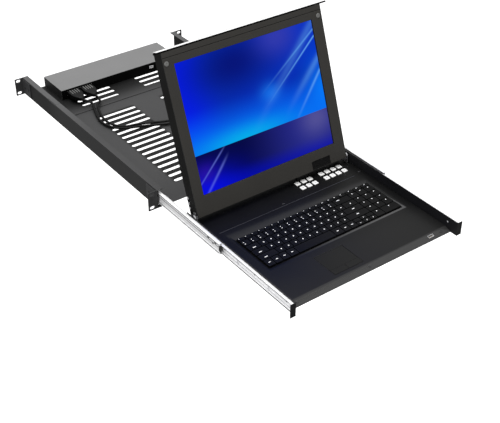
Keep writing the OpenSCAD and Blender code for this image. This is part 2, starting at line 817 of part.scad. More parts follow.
// Three screws hold each arm to the side of the display, near its back.
hinge_screw_n = 25;
hinge_screw_r = 1.5;
function hinge_screw_s() = [18, 28, 40];
module hinge_screw_holes() {
    for (s = hinge_screw_s()) translate([arm_x - 1, hinge_screw_n, s]) rotate([0, 90, 0])
        cylinder(r = hinge_screw_r + 0.05, h = arm_t + skin + 3);
}
module hinge_screws() {
    head_r = 3;
    color("silver") in_display() both_sides() for (s = hinge_screw_s())
        translate([display_half, hinge_screw_n, s]) rotate([0, 90, 0]) difference() {
            union() {
                cylinder(r = head_r, h = 1);
                translate([0, 0, arm_x - display_half]) cylinder(r = hinge_screw_r, h = 4);
            }
            for (a = [0, 90]) rotate([0, 0, a]) translate([0, 0, 1])
                cube([3, 0.6, 1], center = true);
        }
}
// Room for the hinge knuckles at the display's lower corners, behind the bezel.
module knuckle_room() {
    both_sides() block([arm_x - 0.7, bezel_t - 1, -1],
        [display_half + 1, hinge_n + knuckle_r + 1, knuckle_r + 0.6]);
}

module display_back() {
    vent_len = 60;
    vent_step = 10;
    first_vent_s = 230;
    color([0.16, 0.16, 0.15]) in_display() difference() {
        block([-display_half, bezel_t, 0], [display_half, display_t, bezel_top]);
        block([-display_half + skin, bezel_t - 1, skin],
            [display_half - skin, display_t - skin, bezel_top - skin]);
        knuckle_room();
        for (x = [-1, 0, 1] * 1.5 * vent_len, k = [0:5])
            translate([x, display_t - 5, first_vent_s + vent_step * k])
                rotate([-90, 0, 0]) slot_x(vent_len, 4, 10);
        both_sides() hinge_screw_holes();
    }
}

module display_bezel() {
    notch_low = [100.5, -1, -1];
    notch_high = [150, 2.2, 19.5];
    groove = 0.8;
    color([0.23, 0.23, 0.22]) in_display() difference() {
        block([-display_half, 0, 0], [display_half, bezel_t - slop, bezel_top]);
        block([picture_x - picture_w / 2, -1, picture_s],
            [picture_x + picture_w / 2, bezel_t + 1, picture_s + picture_h]);
        block(notch_low, notch_high);
        block([-display_half - 1, -1, groove_s], [display_half + 1, groove, groove_s + groove]);
    }
}

// The front panel shows in the rack when the drawer is shut: a pale face and a black front lip.
module display_lip() {
    color([0.08, 0.08, 0.08]) in_display()
        block([-lip_half, 0, bezel_top + slop], [lip_half, lip_t, display_h + lip_out]);
}
module front_panel_strip() {
    color("gainsboro") in_display()
        block([-display_half, lip_t + slop, bezel_top + slop],
            [display_half, display_t, display_h]);
}

module lcd_panel() {
    color([0.05, 0.15, 0.6]) in_display()
        block([picture_x - picture_w / 2 - panel_margin, bezel_t, picture_s - panel_margin],
            [picture_x + picture_w / 2 + panel_margin, bezel_t + panel_t,
                picture_s + picture_h + panel_margin]);
}

module display_board() {
    post = 3;
    board_n = bezel_t + panel_t + post;
    back_n = board_n + 1.6;
    color("darkgreen") in_display() {
        block([-70, board_n, 60], [70, back_n, 150]);
        for (x = [-40, 0, 40]) block([x - 10, back_n - slop, 90], [x + 10, back_n + 2.4, 110]);
        for (x = [-60, 60], s = [68, 142]) translate([x, bezel_t + panel_t, s])
            rotate([-90, 0, 0]) cylinder(r = post, h = post + slop);
    }
}

module bumpers() {
    color("gray") in_display() for (x = [-187, 184.5]) translate([x, 0, bumper_s])
        rotate([90, 0, 0]) cylinder(r = 4.8, h = bumper_t);
}

front_tray();
rear_tray();
front_rack_ears();
rear_rack_ears();
chassis_screws();
slide_outer_left();
slide_outer_right();
switch_case();
switch_cover();
switch_board();
host_ports();
console_sockets();
power_inlet();
console_cable();
power_rocker();
slide_middle_left();
slide_middle_right();
ball_cages_outer();
ball_cages_inner();
slide_inners();
drawer_tray();
keyboard_deck();
key_plate();
touchpad();
control_board();
front_usb_socket();
hinge_brackets();
deck_screws();
keys_row_1();
keys_row_2();
keys_row_3();
keys_row_4();
keys_row_5();
keys_row_6();
space_bar();
touchpad_button_left();
touchpad_button_right();
menu_button_1();
menu_button_2();
menu_button_3();
menu_button_4();
menu_button_5();
menu_button_6();
port_button_1();
port_button_2();
port_button_3();
port_button_4();
port_button_5();
port_button_6();
port_button_7();
port_button_8();
display_back();
display_bezel();
display_lip();
front_panel_strip();
lcd_panel();
display_board();
hinge_arms();
hinge_screws();
bumpers();
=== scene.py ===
"""Looks for a rack console drawer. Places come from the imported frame, in metres."""
import json
import math

import bmesh
import bpy
from mathutils import Matrix, Vector


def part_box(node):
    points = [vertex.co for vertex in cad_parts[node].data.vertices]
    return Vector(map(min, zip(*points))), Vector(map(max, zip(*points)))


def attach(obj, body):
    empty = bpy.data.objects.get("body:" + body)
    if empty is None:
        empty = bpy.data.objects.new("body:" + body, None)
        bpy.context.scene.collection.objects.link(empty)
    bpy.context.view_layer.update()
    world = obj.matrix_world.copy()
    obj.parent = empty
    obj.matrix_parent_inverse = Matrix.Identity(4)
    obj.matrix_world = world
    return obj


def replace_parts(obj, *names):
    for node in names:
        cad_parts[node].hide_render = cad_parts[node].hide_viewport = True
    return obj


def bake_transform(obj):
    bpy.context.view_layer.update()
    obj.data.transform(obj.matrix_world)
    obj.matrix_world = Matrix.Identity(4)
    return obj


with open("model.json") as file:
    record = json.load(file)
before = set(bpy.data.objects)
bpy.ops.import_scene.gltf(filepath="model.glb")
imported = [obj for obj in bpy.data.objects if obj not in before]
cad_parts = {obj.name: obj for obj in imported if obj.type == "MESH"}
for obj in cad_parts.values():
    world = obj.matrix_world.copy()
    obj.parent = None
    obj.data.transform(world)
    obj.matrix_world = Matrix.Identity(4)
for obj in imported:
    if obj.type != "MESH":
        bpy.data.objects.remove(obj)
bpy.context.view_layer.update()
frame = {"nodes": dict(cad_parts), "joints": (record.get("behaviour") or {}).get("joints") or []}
NODES = frame["nodes"]
BUTTONS = [name for name in NODES if "menu_button" in name or "port_button" in name]
MM = 0.001

# ------------------------------------------------------------------ shader toolkit


class Wire:
    """A value in a shader, so that its maths reads as Python."""

    def __init__(self, shader, socket):
        self.shader, self.socket = shader, socket

    def math(self, operation, *others):
        node = self.shader.add("ShaderNodeMath")
        node.operation = operation
        for socket, value in zip(node.inputs, (self,) + others):
            self.shader.put(socket, value)
        return Wire(self.shader, node.outputs[0])

    def __add__(self, other):
        return self.math("ADD", other)

    def __sub__(self, other):
        return self.math("SUBTRACT", other)

    def __mul__(self, other):
        return self.math("MULTIPLY", other)

    def __neg__(self):
        return self.math("MULTIPLY", -1.0)

    def __abs__(self):
        return self.math("ABSOLUTE")

    def ramp(self, low, high):
        """Goes smoothly from 0 at low to 1 at high, and stays there; low may be the greater."""
        node = self.shader.add("ShaderNodeMapRange")
        node.interpolation_type = "SMOOTHSTEP"
        for socket, value in zip(node.inputs, (self, low, high, 0.0, 1.0)):
            self.shader.put(socket, value)
        return Wire(self.shader, node.outputs[0])

    def bell(self, centre, width):
        """1 at centre, falling to 0 over about width either side."""
        away = (self - centre) * (1.0 / width)
        return (-(away * away)).math("EXPONENT")


class Shader:
    """A node material around one Principled shader."""

    def __init__(self, name):
        self.material = bpy.data.materials.new(name)
        self.material.use_nodes = True
        self.tree = self.material.node_tree
        self.tree.nodes.clear()
        self.bsdf = self.add("ShaderNodeBsdfPrincipled")
        output = self.add("ShaderNodeOutputMaterial")
        self.tree.links.new(self.bsdf.outputs[0], output.inputs[0])

    def add(self, kind):
        return self.tree.nodes.new(kind)

    def put(self, socket, value):
        if isinstance(value, Wire):
            self.tree.links.new(value.socket, socket)
        elif hasattr(value, "__len__") and len(value) == 3 and socket.type == "RGBA":
            socket.default_value = (*value, 1.0)
        else:
            socket.default_value = value

    def set(self, **inputs):
        for key, value in inputs.items():
            self.put(self.bsdf.inputs[key.replace("_", " ")], value)

    def place(self):
        """The piece's own rest coordinates, in metres."""
        return Wire(self, self.add("ShaderNodeTexCoord").outputs["Object"])

    def split(self, vector):
        node = self.add("ShaderNodeSeparateXYZ")
        self.put(node.inputs[0], vector)
        return [Wire(self, out) for out in node.outputs]

    def stretch(self, vector, scale):
        node = self.add("ShaderNodeMapping")
        self.put(node.inputs["Vector"], vector)
        node.inputs["Scale"].default_value = scale
        return Wire(self, node.outputs[0])

    def noise(self, size, detail=3.0, vector=None):
        node = self.add("ShaderNodeTexNoise")
        self.put(node.inputs["Vector"], vector or self.place())
        node.inputs["Scale"].default_value = 1.0 / size
        node.inputs["Detail"].default_value = detail
        return Wire(self, node.outputs["Fac"])

    def mix(self, factor, low, high):
        node = self.add("ShaderNodeMix")
        node.data_type = "RGBA"
        for key, value in (("Factor_Float", factor), ("A_Color", low), ("B_Color", high)):
            socket = next(s for s in node.inputs if s.identifier == key)
            self.put(socket, value)
        return Wire(self, next(s for s in node.outputs if s.identifier == "Result_Color"))

    def bump(self, height, strength, depth=0.0001):
        node = self.add("ShaderNodeBump")
        node.inputs["Strength"].default_value = strength
        node.inputs["Distance"].default_value = depth
        self.put(node.inputs["Height"], height)
        self.set(Normal=Wire(self, node.outputs[0]))

    def edges(self, width):
        """0 on flat faces, rising to about 1 along outer edges and corners."""
        bevel = self.add("ShaderNodeBevel")
        bevel.samples = 3
        bevel.inputs["Radius"].default_value = width
        flat = self.add("ShaderNodeNewGeometry")
        dot = self.add("ShaderNodeVectorMath")
        dot.operation = "DOT_PRODUCT"
        self.tree.links.new(bevel.outputs[0], dot.inputs[0])
        self.tree.links.new(flat.outputs["Normal"], dot.inputs[1])
        return Wire(self, dot.outputs["Value"]).ramp(0.98, 0.80)

    def corners(self, reach):
        """1 in the open, falling to 0 in tight corners."""
        node = self.add("ShaderNodeAmbientOcclusion")
        node.samples = 4
        node.inputs["Distance"].default_value = reach
        return Wire(self, node.outputs["AO"])


def lighter(colour, factor):
    """The colour times factor, held at white."""
    return tuple(min(1.0, c * factor) for c in colour)


def coat(name, colour, rough, specular=0.5, metal=0.0, mottle=0.10, grain=0.15, grain_size=0.6 * MM,
         edge_highlight=0.35, edge_highlight_gain=2.2, corner_shade=0.0, gloss=0.0, brushed=None):
    """Paint, moulding or metal: cloudy colour, a fine grain, edges painted paler as a highlight and, where
    asked, corners painted darker as shade.
    """
    shader = Shader(name)
    cloud = shader.noise(60 * MM)
    tone = shader.mix(cloud.ramp(0.3, 0.7), lighter(colour, 1 - mottle), lighter(colour, 1 + mottle))
    # Painted highlight: edges are painted paler, standing in for the light they catch.
    tone = shader.mix(shader.edges(0.5 * MM) * edge_highlight, tone, lighter(colour, edge_highlight_gain))
    # Painted shade: corners are painted darker, standing in for the shade that falls there.
    if corner_shade:
        tone = shader.mix(shader.corners(30 * MM).ramp(1.0, 0.0) * corner_shade, tone, lighter(colour, 0.3))
    texture = shader.noise(grain_size)
    if brushed:
        texture = shader.noise(grain_size, 2.0, shader.stretch(shader.place(), brushed))
    shader.set(Base_Color=tone, Metallic=metal, Specular_IOR_Level=specular, Coat_Weight=gloss,
               Roughness=texture * 0.10 + cloud * 0.08 + (rough - 0.09))
    shader.bump(texture, grain)
    return shader.material


ALONG_X = (0.02, 1.0, 1.0)
ALONG_Y = (1.0, 0.02, 1.0)

EAR = coat("ear_powder_coat", (0.030, 0.030, 0.031), 0.45, 0.30, grain=0.25)
BOX_BLACK = coat("box_black_paint", (0.003, 0.003, 0.003), 0.6, 0.05)
# Painted shade darkens the zinc in corners, and its edges get a painted highlight.
ZINC = coat("zinc_plate", (0.93, 0.93, 0.94), 0.32, metal=0.35, mottle=0.02, edge_highlight_gain=1.1, corner_shade=0.15,
            grain=0.04, grain_size=0.8 * MM, brushed=ALONG_Y)
SCREW = coat("screw_zinc", (0.78, 0.78, 0.80), 0.30, metal=1.0, edge_highlight_gain=1.2, grain=0.2)
NICKEL = coat("nickel_shell", (0.66, 0.66, 0.67), 0.28, metal=1.0, mottle=0.04, edge_highlight_gain=1.25)
BRASS = coat("stamped_brass", (0.68, 0.50, 0.22), 0.34, metal=1.0, edge_highlight_gain=1.3)
CAGE = coat("ball_cage_steel", (0.16, 0.155, 0.15), 0.34, metal=1.0, edge_highlight_gain=1.4)
# Painted highlight: the black drawer's edges are painted far paler.
DRAWER = coat("drawer_paint", (0.006, 0.006, 0.007), 0.45, 0.25, grain=0.2, edge_highlight=0.5, edge_highlight_gain=9.0)
PAD = coat("touchpad_plastic", (0.005, 0.005, 0.005), 0.36, 0.16, grain=0.08, grain_size=0.3 * MM)
SHELL = coat("display_back_paint", (0.008, 0.008, 0.0078), 0.6, 0.05, grain=0.3)
ALUMINIUM = coat("front_panel_aluminium", (0.93, 0.93, 0.93), 0.45, metal=0.25, mottle=0.03, edge_highlight_gain=1.0,
                 grain=0.15, grain_size=0.7 * MM, brushed=ALONG_X)
RUBBER = coat("bumper_rubber", (0.16, 0.16, 0.155), 0.7, 0.3, grain=0.3)
JACKET = coat("cable_jacket", (0.004, 0.004, 0.004), 0.45, 0.15, grain=0.1, edge_highlight=0.1)
GLOSS = coat("black_gloss_plastic", (0.012, 0.012, 0.012), 0.22, grain=0.05)
WHITE = coat("button_white", (0.93, 0.93, 0.92), 0.38, mottle=0.03, edge_highlight_gain=1.0, grain=0.08)
GREY_DOT = coat("button_window_grey", (0.36, 0.36, 0.37), 0.3, mottle=0.04)
LEGEND = coat("legend_white", (0.95, 0.95, 0.95), 0.5, mottle=0.04, edge_highlight=0.0)
BLUE_INSERT = coat("socket_insert_blue", (0.02, 0.07, 0.32), 0.4, grain=0.1)
# Painted shade: near black for holes, recesses and gaps, standing in for the shade inside them.
HOLE_SHADE = coat("hole_shade_black", (0.004, 0.004, 0.004), 0.8, 0.1, edge_highlight=0.0)


def tray_paint():
    """Dark grey powder coat with painted light: a painted shadow in front of the box, painted shade in
    corners, between the front vents and on upright faces, and painted highlights on the rear flanges and on
    edges."""
    shader = Shader("tray_powder_coat")
    across, along, up = shader.split(shader.place())
    _, _, level = shader.split(Wire(shader, shader.add("ShaderNodeNewGeometry").outputs["Normal"]))
    low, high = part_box("front_tray")
    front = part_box("switch_case")[0].y
    cloud, grain = shader.noise(60 * MM), shader.noise(0.9 * MM)
    tone = shader.mix(cloud, (0.044, 0.044, 0.045), (0.052, 0.052, 0.053))
    # Painted shade: darker in corners and beside walls.
    tone = shader.mix(shader.corners(60 * MM).ramp(1.0, 0.1) * 0.6, tone, (0.014, 0.014, 0.014))
    rim = up.ramp(high.z - 4 * MM, high.z - 2 * MM)
    beside = abs(across)
    columns = beside.ramp(32 * MM, 42 * MM) * beside.ramp(144 * MM, 132 * MM)
    first_vent = along.ramp(low.y + 54 * MM, low.y + 64 * MM)
    last_vent = along.ramp(front - 113 * MM, front - 123 * MM)
    vents = columns * first_vent * last_vent * rim.ramp(1, 0)
    # Painted shade: the floor between the front vents is painted near black.
    tone = shader.mix(vents * 0.97, tone, (0.002, 0.002, 0.002))
    # Painted shadow: the floor just in front of the switch box is painted near black.
    shade = along.ramp(front - 100 * MM, front - 25 * MM) * rim.ramp(1, 0)
    tone = shader.mix(shade * 0.95, tone, (0.004, 0.004, 0.004))
    # Painted light: the tops of the rear flanges are painted paler.
    tone = shader.mix(rim * along.ramp(low.y + 0.25, front), tone, (0.085, 0.085, 0.086))
    # Painted shade: upright faces are painted darker.
    tone = shader.mix(abs(level).ramp(0.6, 0.2) * 0.75, tone, (0.013, 0.013, 0.013))
    # Painted highlight: edges are painted paler.
    tone = shader.mix(shader.edges(0.5 * MM) * 0.3, tone, (0.10, 0.10, 0.10))
    shader.set(Base_Color=tone, Roughness=grain * 0.1 + cloud * 0.08 + 0.46, Specular_IOR_Level=0.22)
    shader.bump(grain, 0.3)
    return shader.material


def cover_paint():
    """Black paint with painted light: a painted reflection turns the cover's top grey, painted shade keeps
    its sides black and its front blackest, and its edges get a painted highlight.
    """
    shader = Shader("switch_cover_paint")
    _, _, up = shader.split(shader.place())
    _, facing, _ = shader.split(Wire(shader, shader.add("ShaderNodeNewGeometry").outputs["Normal"]))
    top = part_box("switch_cover")[1].z
    cloud = shader.noise(60 * MM)
    grain = shader.noise(0.8 * MM)
    # Painted reflection: the top's grey stands in for light reflected by the black paint.
    grey = shader.mix(cloud, (0.165, 0.165, 0.165), (0.185, 0.185, 0.186))
    # Painted shade: the sides are near black, the front-facing side blackest.
    side = shader.mix(facing.ramp(-0.3, -0.7), (0.022, 0.022, 0.022), (0.002, 0.002, 0.002))
    tone = shader.mix(up.ramp(top - 1.2 * MM, top - 0.5 * MM), side, grey)
    # Painted highlight: edges are painted paler.
    tone = shader.mix(shader.edges(1.0 * MM) * 0.6, tone, (0.32, 0.32, 0.32))
    shader.set(Base_Color=tone, Roughness=grain * 0.1 + cloud * 0.06 + 0.36, Specular_IOR_Level=0.25)
    shader.bump(grain, 0.2)
    return shader.material


def circuit_board():
    """Green solder resist with straight traces and rows of tinned dots."""
    shader = Shader("circuit_board")
    cells = shader.add("ShaderNodeTexBrick")
    shader.put(cells.inputs["Vector"], shader.place())
    cells.inputs["Scale"].default_value = 1 / (14 * MM)
    cells.inputs["Mortar Size"].default_value = 0.03
    traces = Wire(shader, cells.outputs["Fac"])
    dots = shader.add("ShaderNodeTexVoronoi")
    shader.put(dots.inputs["Vector"], shader.place())
    dots.inputs["Scale"].default_value = 1 / (4 * MM)
    pads = Wire(shader, dots.outputs["Distance"]).ramp(0.20, 0.14)
    green = shader.mix(shader.noise(40 * MM), (0.006, 0.10, 0.03), (0.012, 0.16, 0.05))
    green = shader.mix(traces, green, (0.03, 0.24, 0.09))
    shader.set(Base_Color=shader.mix(pads, green, (0.7, 0.68, 0.6)), Metallic=pads, Roughness=0.35)
    shader.bump(traces + pads, 0.4)
    return shader.material


def bezel_plastic():
    """Warm dark grey moulding, with painted shade on its sideways faces and a painted highlight on its
    edges.
    """
    shader = Shader("bezel_plastic")
    sideways, _, _ = shader.split(Wire(shader, shader.add("ShaderNodeNewGeometry").outputs["Normal"]))
    cloud, grain = shader.noise(60 * MM), shader.noise(0.6 * MM)
    tone = shader.mix(cloud, (0.036, 0.034, 0.031), (0.043, 0.041, 0.037))
    # Painted shade: faces that point sideways are painted darker.
    tone = shader.mix(abs(sideways).ramp(0.6, 0.9), tone, (0.012, 0.012, 0.0115))
    # Painted highlight: edges are painted paler.
    tone = shader.mix(shader.edges(0.5 * MM) * 0.3, tone, (0.065, 0.062, 0.056))
    shader.set(Base_Color=tone, Roughness=grain * 0.1 + cloud * 0.08 + 0.43, Specular_IOR_Level=0.22)
    shader.bump(grain, 0.22)
    return shader.material


def screen_lit(name, cool, warm, rough, specular, slopes=0.0, edge_width=0.5 * MM):
    """Black moulding with painted light: a painted reflection of the screen makes the left bluer and darker,
    the front is painted paler than the back, which the display shades, faces sloping to the front or, on the
    right, to the back are painted paler where asked, and edges get a painted highlight.
    """
    shader = Shader(name)
    across, along, _ = shader.split(shader.place())
    low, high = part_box("keyboard_deck")
    right = across.ramp(low.x * 0.75, high.x * 0.7)
    front = along.ramp(low.y + 0.14, low.y + 0.06)
    # Painted reflection of the screen on the left, and painted light that makes the front paler than the
    # shaded back.
    tone = shader.mix(right, shader.mix(front, cool, lighter(cool, 1.5)),
                      shader.mix(front, warm, lighter(warm, 2.0)))
    # Painted light: faces sloping to the front, and on the right to the back, are painted paler.
    if slopes:
        _, facing, _ = shader.split(Wire(shader, shader.add("ShaderNodeNewGeometry").outputs["Normal"]))
        tone = shader.mix(facing.ramp(-0.05, -0.16) * 0.65, tone, (slopes, slopes, slopes))
        tone = shader.mix(facing.ramp(-0.25, -0.35), tone, (slopes * 1.3, slopes * 1.3, slopes * 1.3))
        tone = shader.mix(facing.ramp(0.05, 0.15) * right, tone, (slopes * 2.4, slopes * 2.4, slopes * 2.4))
    # Painted highlight: edges are painted paler.
    tone = shader.mix(shader.edges(edge_width) * 0.5, tone, (0.04, 0.04, 0.044))
    grain = shader.noise(0.5 * MM)
    shader.set(Base_Color=tone, Roughness=grain * 0.08 + shader.noise(50 * MM) * 0.08 + rough,
               Specular_IOR_Level=specular)
    shader.bump(grain, 0.18)
    return shader.material


DARK_SCREW = coat("black_screw", (0.05, 0.05, 0.052), 0.35, metal=0.6, grain=0.1)
# Painted shade: a darker zinc for slide parts that lie in shade.
SHADED_ZINC = coat("shaded_zinc", (0.36, 0.36, 0.37), 0.35, metal=0.8, grain=0.15)
INLAY = coat("deck_inlay_grey", (0.032, 0.034, 0.048), 0.4, 0.3, grain=0.05)
# Painted shade: a grey for the strip along the front panel's rear edge.
EDGE_SHADE = coat("strip_edge_shade_grey", (0.20, 0.20, 0.20), 0.5, 0.2, grain=0.1)
# Painted shade: near black for the bezel's groove and the key plate under the keys.
SHADE_BLACK = coat("shade_black", (0.004, 0.004, 0.004), 0.8, 0.05, edge_highlight=0.0)
LENS = coat("indicator_lens", (0.055, 0.055, 0.060), 0.15, gloss=0.4, grain=0.02)


BOARD = circuit_board()
BEZEL = bezel_plastic()
DECK = screen_lit("deck_plastic", (0.0018, 0.002, 0.0045), (0.004, 0.004, 0.004), 0.32, 0.16, 0.034)
KEY = screen_lit("keycap_plastic", (0.001, 0.0013, 0.0045), (0.0035, 0.0035, 0.0035), 0.42, 0.09,
                 edge_width=0.3 * MM)

# ------------------------------------------------------------------ mesh toolkit


def piece(name, mesh, materials, body, sharp=35.0):
    """Turns a bmesh into a named object that rides on a body."""
    bmesh.ops.recalc_face_normals(mesh, faces=mesh.faces)
    data = bpy.data.meshes.new(name)
    mesh.to_mesh(data)
    mesh.free()
    for material in materials:
        data.materials.append(material)
    data.shade_smooth()
    data.set_sharp_from_angle(angle=math.radians(sharp))
    thing = bpy.data.objects.new(name, data)
    bpy.context.scene.collection.objects.link(thing)
    if body:
        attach(thing, body)
    return thing


def rounded(half_x, half_y, corner, steps=3):
    """A rounded rectangle as (x, y) points, anticlockwise."""
    corner = min(corner, half_x * 0.98, half_y * 0.98)
    points = []
    for turn, (sx, sy) in enumerate(((1, 1), (-1, 1), (-1, -1), (1, -1))):
        centre = (sx * (half_x - corner), sy * (half_y - corner))
        for step in range(steps + 1):
            angle = math.pi / 2 * (turn + step / steps)
            points.append((centre[0] + corner * math.cos(angle), centre[1] + corner * math.sin(angle)))
    return points


def ring(radius, sides=24):
    """A circle as (x, y) points, anticlockwise."""
    return [(radius * math.cos(2 * math.pi * k / sides), radius * math.sin(2 * math.pi * k / sides))
            for k in range(sides)]


def loft(mesh, sections, matrix=Matrix(), paint=0):
    """Skins a stack of (points, height) sections of equally many points, and closes both ends."""
    rows = [[mesh.verts.new(matrix @ Vector((x, y, height))) for x, y in points]
            for points, height in sections]
    faces = []
    for low, high in zip(rows, rows[1:]):
        for k in range(len(low)):
            after = (k + 1) % len(low)
            faces.append(mesh.faces.new((low[k], low[after], high[after], high[k])))
    faces.append(mesh.faces.new(reversed(rows[0])))
    faces.append(mesh.faces.new(rows[-1]))
    for face in faces:
        face.material_index = paint
    return faces


def block(mesh, low, high, radius=0.0, matrix=Matrix(), paint=0):
    """A box between two corners, its upright and top edges rounded by radius."""
    low, high = Vector(low), Vector(high)
    middle = (low + high) / 2
    half = (high - low) / 2
    radius = min(radius, half.z * 0.9, half.x * 0.9, half.y * 0.9)
    place = matrix @ Matrix.Translation(middle)
    if radius <= 0:
        outline = [(half.x, half.y), (-half.x, half.y), (-half.x, -half.y), (half.x, -half.y)]
        return loft(mesh, [(outline, -half.z), (outline, half.z)], place, paint)
    inner = radius * 0.3
    sections = [(radius, -half.z), (inner, -half.z + inner), (0, -half.z + radius),
                (0, half.z - radius), (inner, half.z - inner), (radius, half.z)]
    return loft(mesh, [(rounded(half.x - inset, half.y - inset, max(radius - inset, radius * 0.2)), z)
                       for inset, z in sections], place, paint)


def turned(mesh, profile, matrix=Matrix(), sides=24, paint=0):
    """A lathe-turned shape: (radius, height) pairs about the local Z axis."""
    return loft(mesh, [(ring(radius, sides), height) for radius, height in profile], matrix, paint)


def spline(points, steps=10):
    """A smooth curve through the points."""
    points = [Vector(p) for p in points]
    padded = [2 * points[0] - points[1]] + points + [2 * points[-1] - points[-2]]
    curve = []
    for a, b, c, d in zip(padded, padded[1:], padded[2:], padded[3:]):
        for step in range(steps):
            t = step / steps
            curve.append(0.5 * (2 * b + (c - a) * t + (2 * a - 5 * b + 4 * c - d) * t ** 2
                                + (3 * b - a - 3 * c + d) * t ** 3))
    return curve + [points[-1]]


def tube(mesh, curve, radius, sides=12, paint=0):
    """A round cable along a curve, with its frame kept upright."""
    rows = []
    for k, point in enumerate(curve):
        forward = (curve[min(k + 1, len(curve) - 1)] - curve[max(k - 1, 0)]).normalized()
        side = forward.cross(Vector((0, 0, 1)))
        side = side.normalized() if side.length > 1e-4 else Vector((1, 0, 0))
        up = side.cross(forward)
        rows.append([mesh.verts.new(point + side * x + up * z) for x, z in ring(radius, sides)])
    for low, high in zip(rows, rows[1:]):
        for k in range(sides):
            after = (k + 1) % sides
            mesh.faces.new((low[k], low[after], high[after], high[k])).material_index = paint
    mesh.faces.new(rows[0])
    mesh.faces.new(reversed(rows[-1]))


def islands(node, turn=Matrix()):
    """(lowest, highest) corner of each separate solid in a CAD node, in a fixed order."""
    mesh = bmesh.new()
    mesh.from_mesh(NODES[node].data)
    bmesh.ops.transform(mesh, matrix=turn, verts=mesh.verts)
    bmesh.ops.remove_doubles(mesh, verts=mesh.verts, dist=0.01 * MM)
    left, found = set(mesh.verts), []
    while left:
        stack, group = [left.pop()], []
        while stack:
            vert = stack.pop()
            group.append(vert.co.copy())
            for edge in vert.link_edges:
                other = edge.other_vert(vert)
                if other in left:
                    left.remove(other)
                    stack.append(other)
        found.append((Vector([min(c[k] for c in group) for k in range(3)]),
                      Vector([max(c[k] for c in group) for k in range(3)])))
    mesh.free()
    return sorted(found, key=lambda pair: (round(pair[0].y, 4), round(pair[0].x, 4), round(pair[0].z, 4)))


def dress(names, material, edge=0.25 * MM):
    """Gives CAD nodes their finish and softens their sharp edges."""
    for name in names.split():
        node = NODES[name]
        node.data.materials.clear()
        node.data.materials.append(material)
        if edge:
            weld = node.modifiers.new("weld", "WELD")
            weld.merge_threshold = 0.005 * MM
            bevel = node.modifiers.new("soft_edges", "BEVEL")
            bevel.width = edge
            bevel.segments = 2
            bevel.limit_method = "ANGLE"
            bevel.angle_limit = math.radians(50)
            bevel.miter_outer = "MITER_ARC"
            weighted = node.modifiers.new("flat_faces", "WEIGHTED_NORMAL")
            weighted.keep_sharp = False


dress("front_tray rear_tray", tray_paint(), 0.3 * MM)
dress("front_rack_ears rear_rack_ears", EAR)
dress("hinge_screws", SCREW, 0.1 * MM)
dress("chassis_screws deck_screws", DARK_SCREW, 0.1 * MM)
dress("slide_outer_left slide_outer_right slide_middle_left slide_middle_right slide_inners", ZINC, 0.4 * MM)
dress("hinge_brackets hinge_arms", SCREW, 0.2 * MM)
dress("switch_case display_lip", BOX_BLACK)
dress("switch_cover", cover_paint(), 0.35 * MM)
dress("switch_board control_board display_board", BOARD, 0)
dress("host_ports front_usb_socket", NICKEL, 0.15 * MM)
dress("console_sockets", ZINC, 0.15 * MM)
dress("power_inlet power_rocker", GLOSS, 0.2 * MM)
dress("ball_cages_outer ball_cages_inner", CAGE, 0.1 * MM)
dress("drawer_tray", DRAWER)
dress("keyboard_deck", DECK, 0.3 * MM)
# Painted shade: the key plate under the keys is near black.
dress("key_plate", SHADE_BLACK, 0)
dress("touchpad touchpad_button_left touchpad_button_right", PAD, 0.3 * MM)
dress("display_back", SHELL, 0.4 * MM)
dress("display_bezel", BEZEL, 0.35 * MM)
dress("front_panel_strip", ALUMINIUM, 0.3 * MM)
dress("lcd_panel", NICKEL, 0)
dress("console_cable", JACKET, 0)
dress("bumpers", RUBBER, 0.3 * MM)
dress("keys_row_1 keys_row_2 keys_row_3 keys_row_4 keys_row_5 keys_row_6 space_bar", KEY, 0)
for name in BUTTONS:
    dress(name, WHITE, 0.3 * MM)

# ------------------------------------------------------------------ places

DISPLAY_LEAN = math.radians(19.5)
HINGE_DEPTH = 10.95 * MM
FACE_DOWN_N = Matrix.Rotation(math.pi / 2, 4, "X")


def display_place():
    """Display measures to the frame: x across, y from the face to the back, z up from the foot."""
    hinge = next(joint for joint in frame["joints"] if joint["name"] == "display_hinge")
    turn = Matrix.Rotation(-DISPLAY_LEAN, 4, "X")
    return Matrix.Translation(hinge["pos_m"]) @ turn @ Matrix.Translation((0, -HINGE_DEPTH, 0))


DISPLAY = display_place()


def on_display(thing):
    """Puts a piece that was built in display measures in its place."""
    thing.parent = None
    thing.matrix_world = DISPLAY
    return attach(thing, "display")


def display_box(node):
    """Lowest and highest corner of a display node, in display measures."""
    inverse = DISPLAY.inverted()
    points = [inverse @ v.co for v in NODES[node].data.vertices]
    return (Vector([min(p[k] for p in points) for k in range(3)]),
            Vector([max(p[k] for p in points) for k in range(3)]))


def display_islands(node):
    """Boxes of the separate solids of a display node, in display measures."""
    return islands(node, DISPLAY.inverted())


# ------------------------------------------------------------------ screen


def glow(x, up, centre_x, centre_up, wide, tall):
    """A soft round patch, 1 at its centre; all measures in millimetres."""
    return x.bell(centre_x * MM, wide * MM) * up.bell(centre_up * MM, tall * MM)


def streak(x, up, from_x, from_up, slope, width, reach):
    """A ray of light that runs down to the left from a point and fades over its reach."""
    off_line = up - (x - from_x * MM) * slope - from_up * MM
    return off_line.bell(0, width * MM) * x.ramp((from_x - reach) * MM, from_x * MM)


